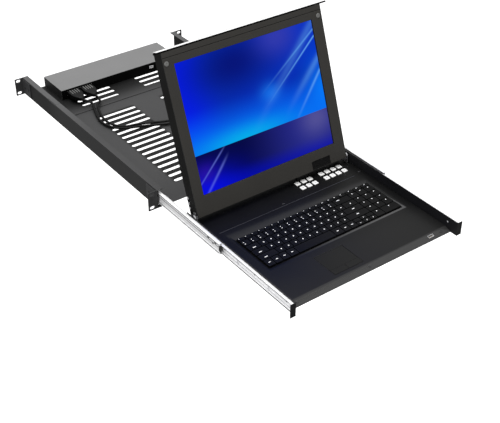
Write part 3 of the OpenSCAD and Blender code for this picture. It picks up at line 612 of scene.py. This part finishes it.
def sky_colour(shader, x, up):
    """Upper part of the picture: deep blue, a bright horizon and five rays."""
    sky = shader.mix(x.ramp(-170 * MM, -60 * MM), (0.0, 0.012, 0.92), (0.0, 0.035, 0.60))
    sky = shader.mix(glow(x, up, -40, 275, 125, 75), sky, (0.0, 0.006, 0.20))
    sky = shader.mix(glow(x, up, 120, 200, 60, 30) * 0.7, sky, (0.0, 0.02, 0.40))
    sky = shader.mix(glow(x, up, 72, 300, 46, 34) * 0.85, sky, (0.035, 0.045, 0.44))
    sky = shader.mix(up.ramp(215 * MM, 122 * MM) * 0.9, sky, (0.0, 0.15, 0.95))
    sky = shader.mix(glow(x, up, -45, 121, 105, 26), sky, (0.0, 0.42, 0.86))
    sky = shader.mix(glow(x, up, 172, 165, 42, 52) * 0.9, sky, (0.0, 0.20, 1.0))
    sky = shader.mix(glow(x, up, 34, 192, 24, 20) * 0.6, sky, (0.01, 0.22, 0.95))
    for from_x, from_up, slope, width, reach, power in ((164, 289, 0.62, 2.2, 165, 0.50),
                                                        (164, 275, 0.74, 2.0, 160, 0.75),
                                                        (166, 204, 1.07, 4.0, 95, 0.55),
                                                        (164, 228, 0.89, 9.0, 110, 0.30),
                                                        (150, 290, 0.95, 12, 190, 0.22)):
        ray = streak(x, up, from_x, from_up, slope, width, reach)
        sky = shader.mix(ray * power, sky, (0.16, 0.50, 1.0))
    return sky


def ground_colour(shader, x, up):
    """Lower part of the picture: dark blue with two rays at the left."""
    ground = shader.mix(x.ramp(-70 * MM, 120 * MM), (0.0, 0.001, 0.055), (0.018, 0.022, 0.26))
    ground = shader.mix(up.ramp(75 * MM, 38 * MM) * 0.75, ground, (0.0, 0.003, 0.42))
    ground = shader.mix(glow(x, up, -175, 42, 90, 42), ground, (0.0, 0.003, 0.80))
    ground = shader.mix(glow(x, up, -155, 82, 24, 20) * 0.5, ground, (0.03, 0.006, 0.42))
    ground = shader.mix(glow(x, up, 135, 108, 40, 34) * 0.8, ground, (0.10, 0.095, 0.33))
    for from_x, from_up, slope, width in ((-100, 120, 0.82, 2.2), (-86, 112, 1.0, 3.6)):
        ray = streak(x, up, from_x, from_up, slope, width, 150) * x.ramp(-90 * MM, -120 * MM)
        ground = shader.mix(ray * 0.45, ground, (0.20, 0.26, 1.0))
    return ground


def screen_picture():
    """A plain blue picture with a horizon and soft rays, lit from behind."""
    shader = Shader("screen_picture")
    x, _, up = shader.split(shader.place())
    picture = shader.mix(up.ramp(120.4 * MM, 121.4 * MM), ground_colour(shader, x, up),
                         sky_colour(shader, x, up))
    grain = shader.noise(0.35 * MM, 1.0)
    shader.set(Base_Color=(0.0, 0.0, 0.0), Roughness=grain * 0.05 + 0.30, Specular_IOR_Level=0.05,
               Emission_Color=picture, Emission_Strength=0.95)
    shader.bump(grain, 0.05, 0.00005)
    return shader.material


def lcd_screen():
    """The glass in the bezel's window: a black border round the lit picture."""
    low, high = display_box("lcd_panel")
    margin, border, front = 9.1 * MM, 0.9 * MM, 2.45 * MM
    middle = (low + high) / 2
    half_x, half_z = (high.x - low.x) / 2 - margin, (high.z - low.z) / 2 - margin
    place = Matrix.Translation((middle.x, 0, middle.z)) @ FACE_DOWN_N
    mesh = bmesh.new()
    faces = loft(mesh, [(rounded(half_x - inset, half_z - inset, max(0.6 * MM - inset, 0.2 * MM)), height)
                        for inset, height in ((0, -low.y), (0, -front - 0.1 * MM), (0.1 * MM, -front),
                                              (border, -front), (border, -front - 0.12 * MM))], place)
    faces[-1].material_index = 1
    on_display(piece("lcd_screen", mesh, (GLOSS, screen_picture()), None))


def latch_recess():
    """Black insert in the notch at the bezel's foot, with a finger ridge."""
    low, high = Vector((101.3, 1.7, 0.6)) * MM, Vector((149.2, 2.25, 18.7)) * MM
    middle = (low + high) / 2
    place = Matrix.Translation((middle.x, 0, middle.z)) @ FACE_DOWN_N
    mesh = bmesh.new()
    loft(mesh, [(rounded((high.x - low.x) / 2 - inset, (high.z - low.z) / 2 - inset, 1.2 * MM), height)
                for inset, height in ((0, -high.y), (0, -low.y - 0.2 * MM), (0.2 * MM, -low.y),
                                      (1.6 * MM, -low.y), (1.9 * MM, -low.y - 0.3 * MM))], place)
    for up in (4.5, 6.5, 8.5):
        block(mesh, (108 * MM, 1.5 * MM, up * MM), (142 * MM, 2.1 * MM, (up + 0.8) * MM), 0.3 * MM)
    on_display(piece("latch_recess", mesh, (PAD,), None))


def display_bumpers():
    """Round rubber feet that meet the deck when the display is shut."""
    mesh = bmesh.new()
    profile = ((4.8, -0.02), (4.8, 0.65), (4.55, 1.0), (4.1, 1.2), (1.9, 1.2), (1.5, 0.75), (0.3, 0.7))
    for low, high in display_islands("bumpers"):
        middle = (low + high) / 2
        place = Matrix.Translation((middle.x, high.y, middle.z)) @ FACE_DOWN_N
        turned(mesh, [(radius * MM, height * MM) for radius, height in profile], place, 32)
    feet = on_display(piece("display_bumpers", mesh, (RUBBER,), None))
    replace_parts(feet, "bumpers")


def display_lines():
    """Painted shade: a dark line in the bezel's groove and a grey strip along the front panel's rear edge,
    standing in for the shade there.
    """
    low, high = display_box("display_bezel")
    groove = high.z - 11.5 * MM
    # Painted shade: a near-black line in the bezel's groove.
    mesh = bmesh.new()
    block(mesh, (low.x + 0.3 * MM, 0.1 * MM, groove),
          (high.x - 0.3 * MM, 0.9 * MM, groove + 1.0 * MM), 0.1 * MM)
    on_display(piece("bezel_groove_line", mesh, (SHADE_BLACK,), None))
    low, high = display_box("front_panel_strip")
    # Painted shade: a grey strip along the front panel's rear edge.
    mesh = bmesh.new()
    block(mesh, (low.x + 0.2 * MM, high.y - 2.7 * MM, high.z - 0.3 * MM),
          (high.x - 0.2 * MM, high.y - 0.2 * MM, high.z + 0.12 * MM), 0.1 * MM)
    on_display(piece("panel_edge_shade", mesh, (EDGE_SHADE,), None))


def back_cover_details():
    """A shallow stiffening panel and a ring of screws on the display's back."""
    low, high = display_box("display_back")
    outward = Matrix.Rotation(-math.pi / 2, 4, "X")
    middle = Matrix.Translation(((low.x + high.x) / 2, high.y, (low.z + high.z) / 2 - 52 * MM)) @ outward
    mesh = bmesh.new()
    loft(mesh, [(rounded(150 * MM - inset, 92 * MM - inset, 12 * MM, 8), height) for inset, height in
                ((0, -0.3 * MM), (0.1 * MM, 0.12 * MM), (0.5 * MM, 0.3 * MM), (6 * MM, 0.3 * MM),
                 (6.5 * MM, 0.1 * MM))], middle)
    on_display(piece("back_cover_emboss", mesh, (SHELL,), None))
    mesh = bmesh.new()
    for x in (-186, -93, 0, 93, 186):
        for up in (14, 322):
            screw_head(mesh, Matrix.Translation((x * MM, high.y, up * MM)) @ outward, 2.6 * MM, 0.35 * MM)
    on_display(piece("back_cover_screws", mesh, (DARK_SCREW, HOLE_SHADE), None))


def screw_head(mesh, place, radius, height):
    """A low domed head with a cross recess, drawn as a near-black cross of painted shade."""
    turned(mesh, ((radius, -0.3 * MM), (radius, height * 0.4), (radius * 0.86, height * 0.8),
                  (radius * 0.55, height), (radius * 0.1, height)), place, 20)
    for turn in (0, math.pi / 2):
        slot = place @ Matrix.Rotation(turn, 4, "Z")
        block(mesh, (-radius * 0.55, -radius * 0.12, height * 0.5),
              (radius * 0.55, radius * 0.12, height * 1.04), 0, slot, 1)


# ------------------------------------------------------------------ keys and buttons

KEY_SIDES = 2.4 * MM
KEY_PITCH = 18 * MM
STEM = 2.0 * MM


def keycap(mesh, low, high):
    """A low key: tapered sides, a rounded shoulder, a shallow dish and the stem below."""
    half_x, half_y = (high.x - low.x) / 2, (high.y - low.y) / 2
    place = Matrix.Translation(((low.x + high.x) / 2, (low.y + high.y) / 2, high.z))
    profile = ((0.0, -KEY_SIDES / MM), (0.08, -0.7), (0.22, -0.22), (0.5, -0.03), (0.8, 0.0),
               (1.5, -0.08), (2.3, -0.2))
    loft(mesh, [(rounded(half_x - inset * MM, half_y - inset * MM, (1.5 - 0.4 * inset) * MM), height * MM)
                for inset, height in profile], place)
    block(mesh, (-STEM, -STEM, low.z - high.z), (STEM, STEM, -KEY_SIDES + 0.2 * MM), 0, place)
    return place


def mark(mesh, place, x, y, wide, deep):
    """A small white print on a key, given in millimetres from the key's centre."""
    spot = place @ Matrix.Translation((x * MM, y * MM, -0.2 * MM))
    loft(mesh, [(rounded(wide / 2 * MM, deep / 2 * MM, 0.5 * MM, 2), height)
                for height in (-0.1 * MM, 0.06 * MM)], spot, 1)


def arrow(mesh, place, turn):
    """A small triangle that points along one of the four ways."""
    points = [(1.5 * MM * math.cos(turn + k * math.tau / 3), 1.5 * MM * math.sin(turn + k * math.tau / 3))
              for k in range(3)]
    spot = place @ Matrix.Translation((0, 0, -0.2 * MM))
    loft(mesh, [(points, -0.1 * MM), (points, 0.06 * MM)], spot, 1)


def legend(mesh, place, row, low, high, count, k):
    """Plain marks where a keyboard has its letters: two on number keys, a bar on wide keys."""
    wide = high.x - low.x
    left = -wide / 2 / MM
    pad = k >= count - (2 if row == 6 else 3)
    if row == 1:
        mark(mesh, place, 0 if pad else left + 3.8, 2.4, 2.0 + (k > 12) * 1.4, 1.5)
    elif row == 6 and 7 <= k <= 12:
        if k != 8 and k != 12:
            arrow(mesh, place, {7: math.pi, 9: -math.pi / 2, 10: math.pi / 2, 11: 0}[k])
    elif pad:
        mark(mesh, place, 0, 5.6, 2.4, 2.2)
    elif wide > 1.3 * KEY_PITCH and k < 6:
        mark(mesh, place, min(left + 13.5, 0), -2.8, 7.2, 1.7)
    elif row == 2 and wide > 1.3 * KEY_PITCH:
        mark(mesh, place, left + 12, 4.4, 7.5, 1.7)
    elif row > 3 and wide > 1.3 * KEY_PITCH:
        mark(mesh, place, 0.5, 0.9, 6.0, 1.9)
    elif row == 2:
        mark(mesh, place, left + 4.4, 2.6, 1.8, 2.0)
        mark(mesh, place, left + 4.4, -3.2, 1.9, 2.2)
    elif row == 6:
        mark(mesh, place, 0, 0.2, 4.6, 1.7)
    else:
        mark(mesh, place, 1.6, 0, 2.4, 2.5)


def key_rows():
    """Every key as its own dished cap, one piece for each row."""
    for row in range(1, 7):
        keys = islands("keys_row_%d" % row)
        keys.sort(key=lambda pair: pair[0].x)
        mesh = bmesh.new()
        for k, (low, high) in enumerate(keys):
            legend(mesh, keycap(mesh, low, high), row, low, high, len(keys), k)
        body = "keys_row_%d" % row
        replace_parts(piece("keycaps_%d" % row, mesh, (KEY, LEGEND), body), body)
    mesh = bmesh.new()
    keycap(mesh, *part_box("space_bar"))
    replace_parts(piece("space_bar_cap", mesh, (KEY,), "space_bar"), "space_bar")


def button_caps():
    """White square buttons with a small grey window, one piece for each."""
    lip = 0.9 * MM
    for name in BUTTONS:
        low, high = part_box(name)
        half = (high.x - low.x) / 2
        place = Matrix.Translation(((low.x + high.x) / 2, (low.y + high.y) / 2, high.z))
        foot = low.z - high.z
        mesh = bmesh.new()
        flange = rounded(half, half, 1.0 * MM)
        loft(mesh, [(flange, foot), (flange, foot + lip)], place)
        profile = ((0, foot / MM + 0.2), (0, -1.3), (0.10, -0.62), (0.36, -0.22), (0.8, -0.03), (1.3, 0.0),
                   (2.6, -0.06))
        loft(mesh, [(rounded(half - lip - inset * MM, half - lip - inset * MM, (1.9 - 0.3 * inset) * MM, 5),
                     height * MM) for inset, height in profile], place)
        window = [(rounded(1.5 * MM, 1.1 * MM, 0.5 * MM), height) for height in (-0.4 * MM, 0.0)]
        loft(mesh, window, place, 1)
        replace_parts(piece(name + "_cap", mesh, (WHITE, GREY_DOT), name), name)


# ------------------------------------------------------------------ deck and drawer details


def deck_details():
    """A thin inlay behind the keys and two small indicator windows."""
    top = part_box("keyboard_deck")[1].z
    crease_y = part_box("keys_row_1")[1].y + 35.8 * MM
    mesh = bmesh.new()
    half_line = 176.9 * MM
    block(mesh, (-half_line, crease_y - 0.4 * MM, top - 0.55 * MM),
          (half_line, crease_y + 0.4 * MM, top + 0.05 * MM), 0.2 * MM)
    piece("deck_inlay", mesh, (INLAY,), "drawer")
    mesh = bmesh.new()
    for x in (-11, 196):
        place = Matrix.Translation((x * MM, crease_y + 7 * MM, top))
        loft(mesh, [(rounded((3.0 - inset) * MM, (1.1 - inset) * MM, 1.0 * MM, 5), height * MM)
                    for inset, height in ((0, -0.1), (0, 0.12), (0.12, 0.25), (0.4, 0.3))], place)
    piece("indicator_windows", mesh, (LENS,), "drawer")


def usb_tongue():
    """The plastic tongue and four contacts inside the front socket."""
    low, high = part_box("front_usb_socket")
    place = Matrix.Translation((low + high) / 2) @ Matrix.Rotation(math.radians(22.8), 4, "X")
    mesh = bmesh.new()
    block(mesh, (-5.6 * MM, -0.3 * MM, -0.8 * MM), (5.6 * MM, 1.6 * MM, 0.7 * MM), 0.2 * MM, place)
    for x in (-3.9, -1.3, 1.3, 3.9):
        block(mesh, ((x - 0.5) * MM, -0.4 * MM, -0.6 * MM),
              ((x + 0.5) * MM, -0.2 * MM, 0.6 * MM), 0, place, 1)
    piece("usb_tongue", mesh, (GLOSS, BRASS), "drawer")


def inner_slide_details():
    """Stamped ribs along the upper half of each inner slide, in a darker zinc that paints the shade there,
    and rivets through its web.
    """
    pair = sorted(islands("slide_inners"), key=lambda corners: corners[0].x)
    for side, (low, high) in zip(("left", "right"), pair):
        outward = -1 if side == "left" else 1
        web = (low.x if outward > 0 else high.x) + outward * 1.2 * MM
        middle = (low.z + high.z) / 2
        facing = Matrix.Rotation(outward * math.pi / 2, 4, "Y")
        upright = Matrix.Translation((web, 0, middle)) @ facing
        inner, outer = sorted((web, web + outward * 0.35 * MM))
        mesh = bmesh.new()
        pitch = 3.2 * MM
        start = low.y + 14 * MM
        count = int((high.y - low.y - 30 * MM) / pitch)
        for k in range(count):
            y = start + k * pitch
            block(mesh, (inner, y, middle - 0.5 * MM), (outer, y + 1.7 * MM, middle + 3.0 * MM), 0.15 * MM)
        outline = [Vector((web, low.y + t * (high.y - low.y) + (2 - 4 * t) * MM, low.z + 1.2 * MM))
                   for t in (0, 0.5, 1)]
        tube(mesh, outline, 0.5 * MM, 8)
        for k in range(4):
            y = low.y + (72 + 96 * k) * MM
            if y < high.y - 10 * MM:
                turned(mesh, ((3.2 * MM, -0.2 * MM), (3.2 * MM, 0.5 * MM), (2.4 * MM, 1.0 * MM),
                              (0.4 * MM, 1.2 * MM)), Matrix.Translation((0, y, -3.6 * MM)) @ upright, 20, 1)
        piece("slide_inner_ribs_" + side, mesh, (SHADED_ZINC, SCREW), "drawer")


def middle_slide_details():
    """Rolled ball tracks on the middle slides with near-black and darker lines beside them as painted shade,
    a pale top rail as a painted highlight, small slots drawn as near-black patches of painted shade, and a
    black stop.
    """
    for side in ("left", "right"):
        low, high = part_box("slide_middle_" + side)
        outward = -1 if side == "left" else 1
        web = (low.x if outward > 0 else high.x) + outward * 4.6 * MM
        middle = (low.z + high.z) / 2
        mesh = bmesh.new()
        # Zinc ball tracks, with near-black and darker zinc lines beside them as painted shade.
        for offset, radius, paint in ((9.6, 0.8, 0), (7.6, 0.4, 2), (-8.6, 0.9, 0), (-10.6, 0.5, 2),
                                      (3.4, 0.5, 1), (1.8, 0.4, 1)):
            line = [Vector((web + outward * 0.1 * MM, low.y + 3 * MM + k * (high.y - low.y - 6 * MM) / 4,
                            middle + offset * MM)) for k in range(5)]
            tube(mesh, line, radius * MM, 10, paint)
        inner, outer = sorted((web - outward * 2.4 * MM, web + outward * 1.4 * MM))
        # Painted highlight: a pale rail along the slide's top.
        block(mesh, (inner, low.y + 2 * MM, high.z - 0.2 * MM), (outer, high.y - 2 * MM, high.z + 0.05 * MM),
              0.1 * MM, paint=3)
        # Painted shade: small slots drawn as near-black patches.
        for y in (low.y + 16 * MM, low.y + 40 * MM, high.y - 26 * MM):
            facing = Matrix.Rotation(outward * math.pi / 2, 4, "Y")
            place = Matrix.Translation((web, y, middle + 5 * MM)) @ facing
            loft(mesh, [(rounded(1.3 * MM, 3.5 * MM, 1.2 * MM, 5), height * MM) for height in (-0.1, 0.12)],
                 place, 2)
        piece("slide_middle_tracks_" + side, mesh, (ZINC, SHADED_ZINC, HOLE_SHADE, ALUMINIUM), "slide_middle")
        mesh = bmesh.new()
        inner, outer = sorted((web, web - outward * 2.6 * MM))
        block(mesh, (inner, low.y - 1.2 * MM, middle - 8 * MM),
              (outer, low.y + 5 * MM, middle + 8 * MM), 0.6 * MM)
        piece("slide_stop_" + side, mesh, (GLOSS,), "slide_middle")


# ------------------------------------------------------------------ switch box and cables


def socket_insert(mesh, place, wide, tall):
    """The moulded core of a video socket with three rows of five holes, drawn as near-black dots of painted
    shade.
    """
    loft(mesh, [(rounded(wide / 2 - inset, tall / 2 - inset, 1.2 * MM), height) for inset, height in
                ((0, 0), (0, 2.6 * MM), (0.2 * MM, 2.8 * MM))], place)
    for row in (-1, 0, 1):
        for k in range(5):
            across = (k - 2) * 2.3 + row * 0.6
            spot = place @ Matrix.Translation((across * MM, row * 2.0 * MM, 2.75 * MM))
            turned(mesh, ((0.5 * MM, 0), (0.5 * MM, 0.08 * MM), (0.1 * MM, 0.08 * MM)), spot, 8, 1)


def box_sockets():
    """Blue socket cores in the rear ports, and the power inlet's pin."""
    backward = Matrix.Rotation(-math.pi / 2, 4, "X")
    mesh = bmesh.new()
    for low, high in islands("host_ports"):
        middle = (low + high) / 2
        socket_insert(mesh, Matrix.Translation((middle.x, low.y + 2.2 * MM, middle.z)) @ backward,
                      15.0 * MM, 6.6 * MM)
    piece("host_port_cores", mesh, (BLUE_INSERT, HOLE_SHADE), "chassis")
    low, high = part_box("power_inlet")
    mesh = bmesh.new()
    place = Matrix.Translation(((low.x + high.x) / 2, high.y - 9 * MM, (low.z + high.z) / 2)) @ backward
    turned(mesh, [(radius * MM, height * MM) for radius, height in
                  ((1.0, -1), (1.0, 6.4), (0.7, 7.0), (0.2, 7.2))], place, 16)
    piece("inlet_pin", mesh, (NICKEL,), "chassis")


def plug(mesh, x, y, z):
    """A moulded video plug: a ribbed grip that narrows to the cable, and two thumbscrews."""
    place = Matrix.Translation((x, y, z)) @ Matrix.Rotation(math.pi / 2, 4, "X")
    sections = ((15.6, 6.6, -29.5), (15.6, 6.6, -8), (14.8, 6.2, -6), (13.0, 6.0, 2), (7.8, 5.0, 10),
                (4.6, 4.4, 16), (3.6, 3.6, 17))
    loft(mesh, [(rounded(wide * MM, tall * MM, 2.2 * MM, 4), height * MM)
                for wide, tall, height in sections], place)
    for k in range(5):
        ring_place = place @ Matrix.Translation((0, 0, (17.2 + 2.4 * k) * MM))
        turned(mesh, [((radius - 0.18 * k) * MM, height * MM) for radius, height in
                      ((3.1, 0), (3.5, 0.3), (3.5, 1.3), (3.1, 1.6))], ring_place, 16)
    for k in range(4):
        across = (-9 + 6 * k) * MM
        block(mesh, (across - 0.9 * MM, 6.1 * MM, -28 * MM),
              (across + 0.9 * MM, 7.1 * MM, -9 * MM), 0.3 * MM, place, 1)
    for side in (-1, 1):
        screw = place @ Matrix.Translation((side * 12.4 * MM, 0, -16 * MM))
        turned(mesh, [(radius * MM, height * MM) for radius, height in
                      ((1.4, -4.5), (1.4, -1), (2.5, -0.6), (2.5, 7.5), (2.1, 8.0), (0.4, 8.0))], screw, 14)
        left, right = sorted((0, side * 13.6 * MM))
        block(mesh, (left, 17 * MM, -3.0 * MM), (right, 20 * MM, 3.0 * MM), 0.6 * MM,
              Matrix.Translation((x, y, z)))


def console_leads():
    """Two leads that leave the box, swing to the middle and enter the drawer's back."""
    sockets = [pair for pair in islands("console_sockets") if pair[1].x < 0]
    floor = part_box("front_tray")[0].z + 1.2 * MM
    drawer_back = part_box("drawer_tray")[1].y
    radius = 2.8 * MM
    mesh = bmesh.new()
    for k, (near, far) in enumerate(sorted(sockets, key=lambda pair: pair[0].x)):
        x, z = (near.x + far.x) / 2, (near.z + far.z) / 2
        y = far.y - 30 * MM
        plug(mesh, x, y, z)
        rest = floor + radius + 2.0 * MM + 3.0 * MM * k
        inside = drawer_back - 8 * MM
        lane = 0.061 + 0.008 * k
        # The way points after the plug are given in metres on the tray's floor.
        path = [(x, y - 17 * MM, z), (x + (14 - 14 * k) * MM, y - 38 * MM, z - 5 * MM),
                (-0.126 + 0.010 * k, 0.432, rest + 2 * MM), (-0.141 + 0.009 * k, 0.378, rest),
                (-0.137 + 0.007 * k, 0.340, rest), (-0.116 + 0.005 * k, 0.314, rest),
                (-0.078, 0.297 + 0.007 * k, rest), (-0.030, 0.274 + 0.008 * k, rest),
                (0.022 + 0.002 * k, 0.248 + 0.008 * k, rest), (0.056 + 0.008 * k, 0.190, rest),
                (lane, 0.110, rest), (lane, 0.020, rest + 0.5 * MM),
                (lane, inside + 50 * MM, rest + 1.0 * MM), (lane, inside, rest + 1.4 * MM)]
        tube(mesh, spline(path, 9), radius, 14)
    leads = piece("console_leads", mesh, (JACKET, RUBBER), None, 60)
    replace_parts(leads, "console_cable")
    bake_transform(leads)


lcd_screen()
latch_recess()
display_bumpers()
display_lines()
back_cover_details()
key_rows()
button_caps()
deck_details()
usb_tongue()
inner_slide_details()
middle_slide_details()
box_sockets()
console_leads()

# ------------------------------------------------------------------ camera, light and stage

CAMERA_AZIMUTH = math.radians(-36.536)
CAMERA_ELEVATION = math.radians(35.100)
CAMERA_ROLL = math.radians(0.135)
CAMERA_DISTANCE = 2.2222
CAMERA_TARGET = Vector((-0.01706, -0.04585, -0.08876))
CAMERA_LENS = 73.75


def photo_camera():
    """The camera at the photo's viewing angle, aimed at CAMERA_TARGET."""
    back = Vector((math.sin(CAMERA_AZIMUTH) * math.cos(CAMERA_ELEVATION),
                   -math.cos(CAMERA_AZIMUTH) * math.cos(CAMERA_ELEVATION), math.sin(CAMERA_ELEVATION)))
    level = Vector((math.cos(CAMERA_AZIMUTH), math.sin(CAMERA_AZIMUTH), 0))
    upright = back.cross(level)
    right = level * math.cos(CAMERA_ROLL) + upright * math.sin(CAMERA_ROLL)
    up = back.cross(right)
    data = bpy.data.cameras.new("camera")
    data.lens = CAMERA_LENS
    data.sensor_width = 36.0
    camera = bpy.data.objects.new("camera", data)
    bpy.context.scene.collection.objects.link(camera)
    turn = Matrix((right, up, back)).transposed().to_4x4()
    camera.matrix_world = Matrix.Translation(CAMERA_TARGET + back * CAMERA_DISTANCE) @ turn
    bpy.context.scene.camera = camera


def softbox(name, place, size, power):
    """A square area light that points at the object."""
    data = bpy.data.lights.new(name, "AREA")
    data.shape = "SQUARE"
    data.size = size
    data.energy = power
    light = bpy.data.objects.new(name, data)
    bpy.context.scene.collection.objects.link(light)
    turn = (-Vector(place)).to_track_quat("-Z", "Y").to_matrix().to_4x4()
    light.matrix_world = Matrix.Translation(place) @ turn


def studio_air():
    """White above, dimmer at the horizon and below, so that upright faces stay darker."""
    world = bpy.data.worlds.new("studio_air")
    bpy.context.scene.world = world
    world.use_nodes = True
    nodes, links = world.node_tree.nodes, world.node_tree.links
    place = nodes.new("ShaderNodeTexCoord")
    split = nodes.new("ShaderNodeSeparateXYZ")
    height = nodes.new("ShaderNodeMapRange")
    height.inputs["From Min"].default_value = -0.3
    height.inputs["From Max"].default_value = 0.9
    height.inputs["To Min"].default_value = 0.30
    height.inputs["To Max"].default_value = 0.85
    links.new(place.outputs["Generated"], split.inputs[0])
    links.new(split.outputs["Z"], height.inputs["Value"])
    links.new(height.outputs[0], nodes["Background"].inputs["Strength"])
    nodes["Background"].inputs["Color"].default_value = (1.0, 1.0, 1.0, 1.0)


def studio_floor():
    """A pale under-lit table well below the object, so that the vents show it."""
    mesh = bmesh.new()
    reach, drop = 30.0, 0.9
    mesh.faces.new([mesh.verts.new((x, y, -drop)) for x, y in
                    ((-reach, -reach), (reach, -reach), (reach, reach), (-reach, reach))])
    data = bpy.data.meshes.new("studio_floor")
    mesh.to_mesh(data)
    mesh.free()
    floor = bpy.data.objects.new("studio_floor", data)
    bpy.context.scene.collection.objects.link(floor)
    paint = Shader("studio_floor_paint")
    tone = paint.mix(paint.noise(2.0), (0.88, 0.88, 0.88), (0.92, 0.92, 0.92))
    paint.set(Base_Color=tone, Roughness=0.9, Specular_IOR_Level=0.1, Emission_Color=tone,
              Emission_Strength=0.45)
    data.materials.append(paint.material)
    floor.visible_glossy = False
    floor.visible_diffuse = False


def studio():
    """Air, floor and two soft lights."""
    bpy.context.scene.view_settings.view_transform = "Standard"
    studio_air()
    studio_floor()
    softbox("softbox_top", (-0.2, 0.4, 3.0), 3.2, 95)
    softbox("softbox_left", (-2.6, -0.6, 0.2), 1.4, 30)


photo_camera()
studio()
